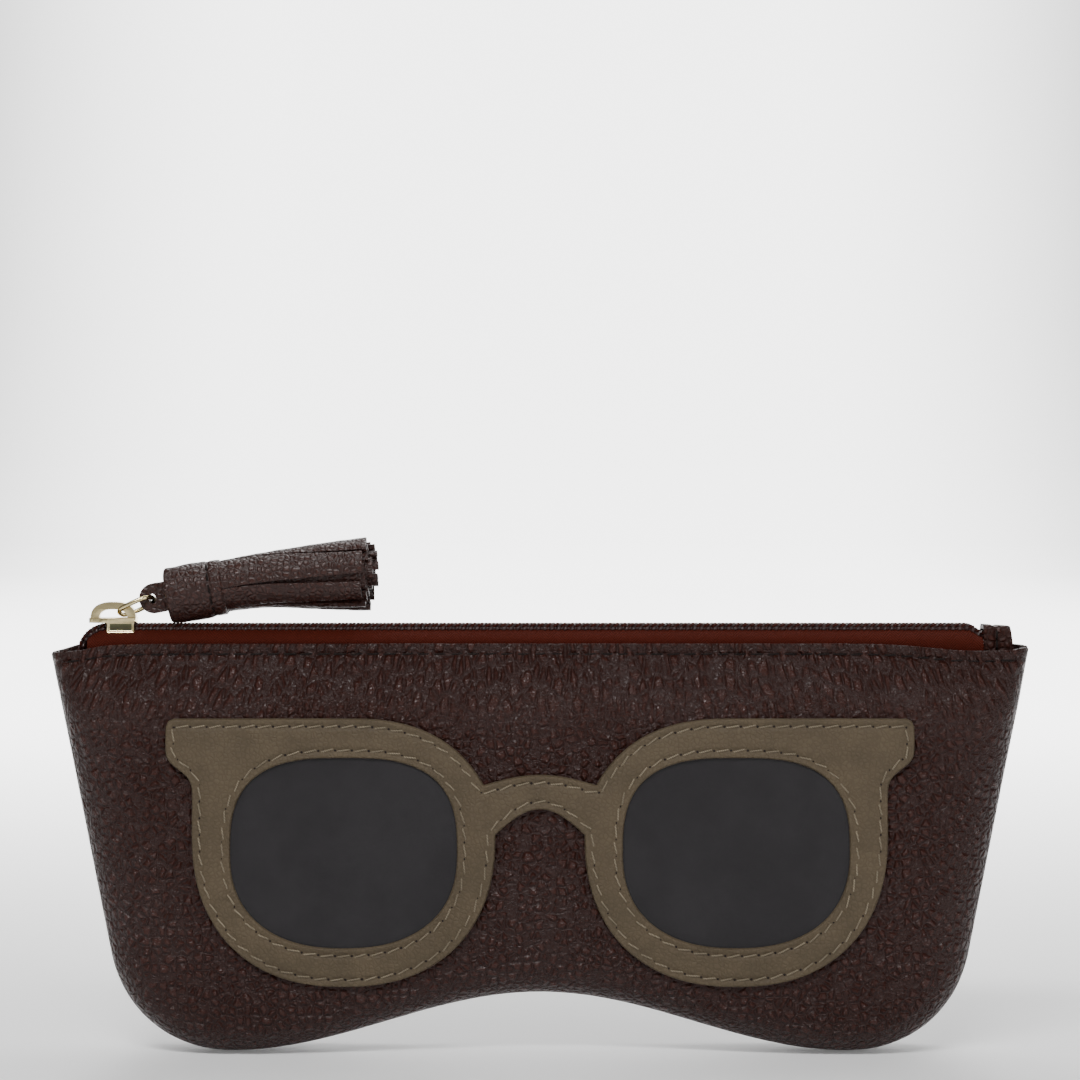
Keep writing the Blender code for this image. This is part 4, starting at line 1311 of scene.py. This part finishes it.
@cache
def pouch_leather():
    """Pebbled leather, its pebbles drawn out upright just under the hem."""
    settings = bpy.context.scene.pouch_leather
    size = settings.grain_mm * MM
    shader = Shader("pebbled_leather")
    axes = shader.axes()
    near_hem = shader.between(axes["Z"], 0.058, 0.076)
    below = shader.math("SUBTRACT", RIM_HEIGHT, axes["Z"])
    fan = shader.math("MULTIPLY", axes["X"], shader.math("SUBTRACT", 1.0, shader.math("MULTIPLY", below, 4.0)))
    drawn = {"X": fan, "Y": axes["Y"], "Z": shader.math("MULTIPLY", axes["Z"], 0.36)}
    long_place = shader.warped(shader.add("ShaderNodeCombineXYZ", drawn).outputs[0], 300.0, 0.0012)
    round_place = shader.warped(shader.place, 260.0, 0.0012)
    fine_place = shader.warped(shader.place, 500.0, 0.0006)
    round_grain = shader.between(shader.pebbles(round_place, size), 0.0, 0.34)
    long_grain = shader.between(shader.pebbles(long_place, size), 0.0, 0.34)
    big_grain = shader.math(
        "ADD",
        shader.math("MULTIPLY", round_grain, shader.math("SUBTRACT", 1.0, near_hem)),
        shader.math("MULTIPLY", long_grain, near_hem),
    )
    fine_grain = shader.between(shader.pebbles(fine_place, size * 0.42), 0.0, 0.25)
    patchy = shader.noise(45.0, 3.0)
    relief = shader.plus(big_grain, fine_grain, 0.2)
    relief = shader.plus(relief, shader.noise(1500.0, 2.0), 0.08)
    normal = shader.bump(relief, 0.00062, shader.between(patchy, 0.25, 0.75, 0.75, 1.0))
    # Painted shade and highlight: the colour darkens in the grain's creases and lightens on the pebble tops.
    crease_shade_and_pebble_highlight = shader.between(relief, 0.25, 1.2)
    colour = shader.shades(crease_shade_and_pebble_highlight, settings.brown, 0.6, 1.15)
    colour = shader.blend(shader.between(patchy, 0.3, 0.7, 0.0, 0.35), colour, tone(settings.brown, 0.8))
    rough = shader.between(relief, 0.1, 1.2, 0.42, 0.3)
    return shader.finish(Base_Color=colour, Roughness=rough, Normal=normal, Specular_IOR_Level=0.26)


@cache
def tassel_leather():
    settings = bpy.context.scene.pouch_leather
    shader = Shader("tassel_leather")
    place = shader.warped(shader.place, 420.0, 0.0008)
    grain = shader.between(shader.pebbles(place, 0.0011), 0.0, 0.3)
    relief = shader.plus(grain, shader.noise(2400.0, 3.0), 0.3)
    normal = shader.bump(relief, 0.0002, 0.7)
    # Painted shade: the colour darkens in the grain's creases and lightens on the pebbles.
    colour = shader.shades(shader.between(relief, 0.2, 1.2), settings.tassel, 0.7, 1.15)
    rough = shader.between(relief, 0.1, 1.2, 0.44, 0.32)
    return shader.finish(Base_Color=colour, Roughness=rough, Normal=normal, Specular_IOR_Level=0.28)


@cache
def raw_leather_edge():
    settings = bpy.context.scene.pouch_leather
    shader = Shader("raw_leather_edge")
    fibres = shader.noise(1800.0, 4.0, 0.7)
    layers = shader.noise(500.0, 2.0)
    colour = shader.shades(shader.between(fibres, 0.3, 0.7), settings.raw_edge, 0.55, 1.25)
    colour = shader.blend(shader.between(layers, 0.35, 0.7, 0.0, 0.6), colour, tone(settings.tassel, 1.0))
    return shader.finish(Base_Color=colour, Roughness=0.85, Normal=shader.bump(fibres, 0.00015, 0.8))


@cache
def taupe_leather():
    """Smoother leather with a fine low grain."""
    settings = bpy.context.scene.pouch_leather
    shader = Shader("taupe_leather")
    place = shader.warped(shader.place, 600.0, 0.0007)
    grain = shader.between(shader.pebbles(place, 0.0009), 0.0, 0.35)
    pores = shader.noise(3000.0, 2.0, 0.6)
    relief = shader.plus(grain, pores, 0.6)
    patchy = shader.noise(130.0, 4.0, 0.6)
    colour = shader.shades(shader.between(patchy, 0.3, 0.7), settings.taupe, 0.88, 1.1)
    # Painted shade: the colour darkens in the grain's creases.
    colour = shader.blend(shader.between(grain, 0.0, 0.45, 0.3, 0.0), colour, tone(settings.taupe, 0.6))
    normal = shader.bump(relief, 0.00011, 0.75, shader.bump(patchy, 0.0006, 0.4))
    rough = shader.between(patchy, 0.3, 0.7, 0.5, 0.6)
    return shader.finish(Base_Color=colour, Roughness=rough, Normal=normal, Specular_IOR_Level=0.16)


@cache
def lens_leather():
    """Smooth charcoal leather with a soft gloss."""
    settings = bpy.context.scene.pouch_leather
    shader = Shader("charcoal_leather")
    pores = shader.noise(1900.0, 3.0, 0.6)
    patchy = shader.noise(60.0, 3.0)
    colour = shader.shades(shader.between(patchy, 0.35, 0.7), settings.lens, 0.9, 1.12)
    normal = shader.bump(pores, 0.00006, 0.6, shader.bump(patchy, 0.0012, 0.25))
    rough = shader.between(pores, 0.3, 0.7, 0.4, 0.48)
    return shader.finish(Base_Color=colour, Roughness=rough, Normal=normal, Specular_IOR_Level=0.16)


@cache
def tab_leather():
    settings = bpy.context.scene.pouch_leather
    shader = Shader("tab_leather")
    place = shader.warped(shader.place, 420.0, 0.0008)
    grain = shader.between(shader.pebbles(place, 0.0013), 0.0, 0.3)
    # Painted shade: the colour darkens in the grain's creases and lightens on the pebbles.
    colour = shader.shades(grain, settings.brown, 0.6, 1.05)
    rough = shader.between(grain, 0.0, 1.0, 0.55, 0.4)
    normal = shader.bump(grain, 0.0003, 0.8)
    return shader.finish(Base_Color=colour, Roughness=rough, Normal=normal, Specular_IOR_Level=0.16)


def woven(name, colour, pitch, depth, rough, slope=1.0):
    """Cloth with a twill weave that runs over x and z, its herringbone turning every few threads."""
    shader = Shader(name)
    axes = shader.axes()
    across = shader.math("MULTIPLY", axes["X"], 1 / pitch)
    up = shader.math("MULTIPLY", axes["Z"], 1 / pitch)
    turned = shader.math("PINGPONG", across, 3.0)
    slanted = shader.plus(turned, up, slope)
    ridge = shader.math("SINE", shader.math("MULTIPLY", slanted, math.tau))
    threads = shader.math("SINE", shader.math("MULTIPLY", across, math.tau * 2))
    fuzz = shader.noise(2200.0, 3.0, 0.7)
    relief = shader.math("ADD", shader.math("MULTIPLY", ridge, 0.5), shader.math("MULTIPLY", threads, 0.2))
    relief = shader.plus(relief, fuzz, 0.7)
    # Painted shade: the colour darkens in the weave's grooves and lightens on its ridges.
    shade = shader.shades(shader.between(relief, -0.4, 1.0), colour, 0.5, 1.25)
    patchy = shader.between(shader.noise(90.0), 0.3, 0.7, 0.0, 0.3)
    shade = shader.blend(patchy, shade, tone(colour, 0.75))
    normal = shader.bump(relief, depth, 0.8)
    return shader.finish(Base_Color=shade, Roughness=rough, Normal=normal, Specular_IOR_Level=0.08)


@cache
def zip_tape():
    return woven("zip_tape", bpy.context.scene.pouch_zip.tape, 0.00055, 0.00012, 0.75)


@cache
def lining_cloth():
    return woven("lining_cloth", (0.03, 0.022, 0.019), 0.0007, 0.0001, 0.85, 0.6)


@cache
def coil_nylon():
    settings = bpy.context.scene.pouch_zip
    shader = Shader("zip_coil")
    streaks = shader.noise(900.0, 2.0)
    colour = shader.shades(shader.between(streaks, 0.3, 0.7), settings.coil, 0.8, 1.4)
    rough = shader.between(streaks, 0.3, 0.7, 0.3, 0.42)
    return shader.finish(Base_Color=colour, Roughness=rough, Normal=shader.bump(streaks, 0.00004, 0.4))


def twisted(name, colour, rough=0.65):
    """Spun thread: fine slanting fibres."""
    shader = Shader(name)
    slanted = shader.mapped(Rotation=(0.0, 0.7, 0.0))
    bands = {"Vector": slanted, "Scale": 900.0, "Distortion": 3.0, "Detail": 2.0}
    fibres = shader.add("ShaderNodeTexWave", bands).outputs["Fac"]
    fuzz = shader.noise(2500.0, 3.0, 0.7)
    relief = shader.plus(fibres, fuzz, 0.5)
    patchy = shader.between(shader.noise(140.0), 0.35, 0.65, 0.55, 0.0)
    # Painted shade: the colour darkens between the fibres and lightens on them.
    shade = shader.shades(shader.between(relief, 0.1, 1.3), colour, 0.6, 1.2)
    shade = shader.blend(patchy, shade, tone(colour, 0.5))
    normal = shader.bump(relief, 0.00006, 0.7)
    return shader.finish(Base_Color=shade, Roughness=rough, Normal=normal, Specular_IOR_Level=0.15)


@cache
def thread_beige():
    return twisted("beige_thread", bpy.context.scene.pouch_leather.thread)


@cache
def thread_dark():
    return twisted("dark_thread", (0.012, 0.008, 0.007), 0.7)


@cache
def cord_rust():
    rust = bpy.context.scene.pouch_zip.tape
    return twisted("zip_cord", (rust[0] * 0.9, rust[1], rust[2]), 0.5)


@cache
def pale_gold():
    """Plated metal, polished, with faint handling marks."""
    settings = bpy.context.scene.pouch_zip
    shader = Shader("pale_gold")
    smudges = shader.noise(420.0, 3.0)
    scratches = shader.noise(1400.0, 2.0, 0.6, shader.mapped(Scale=(0.25, 1.0, 1.6)))
    rough = shader.between(smudges, 0.35, 0.7, 0.12, 0.26)
    colour = shader.shades(shader.between(smudges, 0.3, 0.75), settings.metal, 1.0, 0.86)
    normal = shader.bump(scratches, 0.00002, 0.35)
    return shader.finish(Base_Color=colour, Roughness=rough, Metallic=1.0, Normal=normal)


@cache
def shadowed_gold():
    """Rougher metal whose darkened colour is painted shade at the bottom of the slider's sunk windows."""
    shader = Shader("shadowed_gold")
    blotchy_shade = shader.noise(600.0, 3.0)
    # Painted shade: a dark, blotchy metal colour for the sunk windows.
    colour = shader.blend(blotchy_shade, (0.06, 0.065, 0.04, 1.0), (0.15, 0.14, 0.08, 1.0))
    return shader.finish(Base_Color=colour, Roughness=0.3, Metallic=1.0)


@cache
def pale_floor():
    shader = Shader("pale_floor")
    clouds = shader.noise(6.0, 3.0)
    colour = shader.blend(clouds, (0.86, 0.86, 0.86, 1.0), (0.88, 0.88, 0.88, 1.0))
    # Painted light: the floor glows, most behind the pouch and towards its far rim, so that the backdrop reads
    # white.
    axes = shader.axes()
    behind = shader.between(axes["Y"], -0.1, 0.9, 0.0, 4.5)
    beside = shader.between(shader.math("ABSOLUTE", axes["X"]), 0.35, 1.1, 1.0, 0.0)
    glow = shader.math("MULTIPLY", behind, beside)
    away = shader.add("ShaderNodeVectorMath", {0: shader.place}, operation="LENGTH").outputs["Value"]
    horizon = shader.math(
        "MULTIPLY", shader.between(away, 0.8, 2.6, 0.0, 0.5), shader.between(axes["Z"], 0.45, 1.2, 1.0, 0.3)
    )
    glow = shader.math("MAXIMUM", glow, horizon)
    # The floor's own colour darkens towards its far rim.
    colour = shader.blend(shader.between(away, 1.2, 2.6), colour, (0.02, 0.02, 0.02, 1.0))
    white = (1.0, 1.0, 1.0, 1.0)
    return shader.finish(Base_Color=colour, Roughness=0.6, Emission_Color=white, Emission_Strength=glow)


# Operators


FLAT_OUTLINE_AREA = loop_area(HALF_OUTLINE + [Vector((0.0, RIM_HEIGHT))]) * 2


class POUCH_OT_panels(bpy.types.Operator):
    """The two pebbled leather panels"""

    bl_idname = "pouch.panels"
    bl_label = "Leather panels"

    def execute(self, context):
        for side, word in SIDES:
            ob = make_panel("leather_" + word, side)
            dress(ob, pouch_leather(), "pouch", "pebbled_leather", [word + "_panel"])
        return {"FINISHED"}


class POUCH_OT_linings(bpy.types.Operator):
    """The linings, the divider between the compartments, and the seam"""

    bl_idname = "pouch.linings"
    bl_label = "Linings and divider"

    def execute(self, context):
        for side, word in SIDES:
            ob = plain_sheet("lining_" + word, 1.5 * MM, 0.955, side, 0.35 * MM)
            dress(ob, lining_cloth(), "pouch", "lining_cloth", [word + "_lining"])
        ob = plain_sheet("divider_cloth", 3.4 * MM, 0.86, 0, 0.7 * MM)
        dress(ob, lining_cloth(), "pouch", "lining_cloth", ["divider"])
        right = [Vector((p.x * 0.985, MID_Y, p.y + 1.3 * MM)) for p in HALF_OUTLINE[:-1]]
        path = [Vector((-p.x, p.y, p.z)) for p in reversed(right[1:])] + right
        seam = wire("seam_stitching", [path], 0.16 * MM, sides=1)
        dress(seam, thread_dark(), "pouch", "dark_thread", ["seam_thread"])
        return {"FINISHED"}


class POUCH_OT_applique(bpy.types.Operator):
    """The overlay shaped like a pair of glasses, its lenses and all the stitching on it"""

    bl_idname = "pouch.applique"
    bl_label = "Glasses applique"

    def execute(self, context):
        settings = context.scene.pouch_leather
        loops, stitched = applique_lines()

        def height(x, z):
            return applique_height(x, z, loops, stitched)

        overlay = laid_patch("glasses_overlay", loops, 0.85 * MM, height, 0.9 * MM)
        dress(overlay, taupe_leather(), "pouch", "taupe_leather", ["spectacle_applique"])
        words = ("left", "right") if min(p.x for p in loops[1]) < 0 else ("right", "left")
        for word, loop, line in zip(words, loops[1:], stitched[1:]):
            grown = offset_loop(loop, 2.2 * MM)

            def lens_height(x, z, loop=loop, grown=grown):
                pillow = 0.25 * MM * rounded_edge(distance_to([grown], x, z), 9 * MM)
                return 0.3 * MM + pillow

            lens = laid_patch(word + "_lens", [grown], 1.5 * MM, lens_height, 0.6 * MM)
            dress(lens, lens_leather(), "pouch", "charcoal_leather", ["lens_patch_" + word])
            loop_area(grown)
            name = word + "_lens_stitching"
            row = stitch_row(name, [line], height, FRONT, thread_beige(), True, settings.stitch)
            dress(row, None, "pouch", "beige_thread", ["lens_thread_" + word])
        outer = stitched[:1]
        row = stitch_row("overlay_stitching", outer, height, FRONT, thread_beige(), True, settings.stitch)
        dress(row, None, "pouch", "beige_thread", ["frame_thread"])
        area = loop_area(loops[0]) - sum(loop_area(loop) for loop in loops[1:])
        return {"FINISHED"}


class POUCH_OT_hem(bpy.types.Operator):
    """The stitching along both hems"""

    bl_idname = "pouch.hem"
    bl_label = "Hem stitching"

    def execute(self, context):
        settings = context.scene.pouch_leather
        reach = TOP_HALF_WIDTH - 3.5 * MM
        xs = np.linspace(-reach, reach, 80)
        path = [Vector((x, float(rim_z(x)) - settings.hem)) for x in xs]
        for side, word in SIDES:

            def height(x, z, side=side):
                return leather_relief(x, z, side) * 0.9

            row = stitch_row(
                "hem_stitching_" + word, [path], height, side, thread_dark(), False, settings.stitch, 0.19 * MM, 3
            )
            dress(row, None, "pouch", "dark_thread", ["hem_thread_" + word])
        return {"FINISHED"}


class POUCH_OT_zip(bpy.types.Operator):
    """The tapes, the coils and the leather tab at the zip's end"""

    bl_idname = "pouch.zip"
    bl_label = "Zip"

    def execute(self, context):
        settings = context.scene.pouch_zip
        for side, word in SIDES:
            tape = make_tape("zip_tape_" + word, side)
            tape.name = "tape_" + word
            dress(tape, zip_tape(), "pouch", "zip_tape", ["zip_tape_" + word])
            coil = make_coil("coil_" + word, side, settings.pitch, coil_nylon(), cord_rust())
            dress(coil, None, "pouch", "zip_coil", ["zip_coil_" + word])
        tab = make_tab()
        tab.name = "end_tab"
        dress(tab, tab_leather(), "pouch", "smooth_leather", ["zip_end_tab"])
        low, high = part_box("end_tab_thread")
        front = low[1] + 0.45 * MM
        places = []
        for k in range(2):
            turn = Matrix(((0, 0, 1), (0, -1, 0), (1, 0, 0))).to_4x4()
            turn.translation = ((low[0] + high[0]) / 2, front, high[2] + (0.3 - 2.0 * k) * MM)
            places.append(turn)
        thread = copies("tab_stitches", stitch_master(1.6 * MM, 0.2 * MM, thread_dark()), places)
        dress(thread, None, "pouch", "dark_thread", ["end_tab_thread"])
        return {"FINISHED"}


class POUCH_OT_slider(bpy.types.Operator):
    """The slider with its bridge, and the ring"""

    bl_idname = "pouch.slider"
    bl_label = "Slider and ring"

    def execute(self, context):
        for make, name, body, node in (
            (make_slider_body, "slider_plates", "slider", "slider_body"),
            (make_bridge, "slider_arch", "slider", "slider_bridge"),
            (make_ring, "wire_ring", "ring", "pull_ring"),
        ):
            ob = make()
            ob.name = name
            dress(ob, pale_gold(), body, "pale_gold", [node], shadowed_gold())
        return {"FINISHED"}


class POUCH_OT_tassel(bpy.types.Operator):
    """The leather tassel with its loop, wrapped head and cut fringe"""

    bl_idname = "pouch.tassel"
    bl_label = "Tassel"

    def execute(self, context):
        for make, name, node in (
            (make_tassel_loop, "tassel_band", "tassel_loop"),
            (make_head, "tassel_wrap", "tassel_head_wrap"),
            (make_core, "tassel_roll", "tassel_core"),
            (make_fringe, "tassel_strips", "tassel_fringe"),
        ):
            ob = make()
            ob.name = name
            dress(ob, tassel_leather(), "tassel", "smooth_leather", [node], raw_leather_edge())
        thread = make_tassel_stitches(thread_dark())
        thread.name = "tassel_stitches"
        dress(thread, None, "tassel", "dark_thread", ["tassel_thread"])
        return {"FINISHED"}


class POUCH_OT_stage(bpy.types.Operator):
    """The floor, the lights and the camera"""

    bl_idname = "pouch.stage"
    bl_label = "Floor, light and camera"

    def execute(self, context):
        settings = context.scene.pouch_stage
        make_floor()
        make_lights(settings)
        make_camera(settings)
        return {"FINISHED"}


FRAME_WIDTH = 216 * MM
FRAME_CENTRE = Vector((0.0, MID_Y, 101.6 * MM))


def make_floor():
    """A round pale floor whose edge curves up into a backdrop on every side."""
    deselect()
    bpy.ops.mesh.primitive_circle_add(vertices=96, radius=3.0, fill_type="NGON", location=(0, 0, 0))
    ob = bpy.context.active_object
    ob.name = "floor"
    bpy.ops.object.mode_set(mode="EDIT")
    bpy.ops.mesh.select_mode(type="EDGE")
    bpy.ops.mesh.select_all(action="SELECT")
    bpy.ops.mesh.region_to_loop()
    for rise, widen in ((0.03, 1.07), (0.1, 1.06), (0.2, 1.045), (0.35, 1.03), (0.6, 1.015), (5.0, 1.0)):
        bpy.ops.mesh.extrude_region_move(TRANSFORM_OT_translate={"value": (0, 0, rise)})
        bpy.ops.transform.resize(value=(widen, widen, 1.0))
    bpy.ops.object.mode_set(mode="OBJECT")
    shade_round(ob, 60)
    ob.data.materials.append(pale_floor())


def add_area(name, place, target, size, power):
    deselect()
    bpy.ops.object.light_add(type="AREA", location=place)
    light = bpy.context.active_object
    light.name = name
    light.data.shape = "RECTANGLE"
    light.data.size, light.data.size_y = size
    light.data.energy = power
    light.rotation_euler = (Vector(target) - Vector(place)).to_track_quat("-Z", "Y").to_euler()


def make_lights(settings):
    world = bpy.data.worlds.new("studio")
    world.use_nodes = True
    world.node_tree.nodes["Background"].inputs["Color"].default_value = (1.0, 1.0, 1.0, 1.0)
    world.node_tree.nodes["Background"].inputs["Strength"].default_value = 0.15
    bpy.context.scene.world = world
    middle = (0.0, 0.0, 0.045)
    add_area("key_light", (-0.18, -0.62, 0.8), middle, (0.6, 0.2), settings.key_power)
    add_area("fill_light", (0.75, -0.9, 0.35), middle, (0.5, 0.5), settings.key_power * 0.35)
    add_area("top_light", (0.1, 0.3, 0.9), middle, (1.0, 0.3), settings.key_power * 0.5)


def make_camera(settings):
    data = bpy.data.cameras.new("camera")
    data.lens = settings.lens
    data.clip_start = 0.01
    distance = FRAME_WIDTH * settings.lens / data.sensor_width
    middle = Vector((0.0, MID_Y, 51 * MM))
    place = middle + Vector((0.0, -math.cos(settings.elevation), math.sin(settings.elevation))) * distance
    camera = bpy.data.objects.new("camera", data)
    camera.location = place
    camera.rotation_euler = (FRAME_CENTRE - place).to_track_quat("-Z", "Y").to_euler()
    bpy.context.scene.collection.objects.link(camera)
    bpy.context.scene.camera = camera


class POUCH_PT_panel(bpy.types.Panel):
    """Buttons for the pouch's pieces"""

    bl_label = "Glasses pouch"
    bl_idname = "POUCH_PT_panel"
    bl_space_type = "VIEW_3D"
    bl_region_type = "UI"
    bl_category = "Pouch"

    def draw(self, context):
        for name in SETTINGS:
            settings = getattr(context.scene, name)
            box = self.layout.box()
            for key in settings.__annotations__:
                box.prop(settings, key)
        for operator in OPERATORS:
            self.layout.operator(operator.bl_idname)


SETTINGS = {
    "pouch_leather": LeatherSettings,
    "pouch_zip": ZipSettings,
    "pouch_stage": StageSettings,
}
OPERATORS = (
    POUCH_OT_stage,
    POUCH_OT_panels,
    POUCH_OT_linings,
    POUCH_OT_applique,
    POUCH_OT_hem,
    POUCH_OT_zip,
    POUCH_OT_slider,
    POUCH_OT_tassel,
)


def register():
    for settings in SETTINGS.values():
        bpy.utils.register_class(settings)
    for name, settings in SETTINGS.items():
        setattr(bpy.types.Scene, name, PointerProperty(type=settings))
    for operator in OPERATORS:
        bpy.utils.register_class(operator)
    bpy.utils.register_class(POUCH_PT_panel)


def unregister():
    bpy.utils.unregister_class(POUCH_PT_panel)
    for operator in reversed(OPERATORS):
        bpy.utils.unregister_class(operator)
    for name, settings in SETTINGS.items():
        delattr(bpy.types.Scene, name)
        bpy.utils.unregister_class(settings)


def main():
    register()
    for operator in OPERATORS:
        group, action = operator.bl_idname.split(".")
        getattr(getattr(bpy.ops, group), action)()


if __name__ == "__main__":
    main()
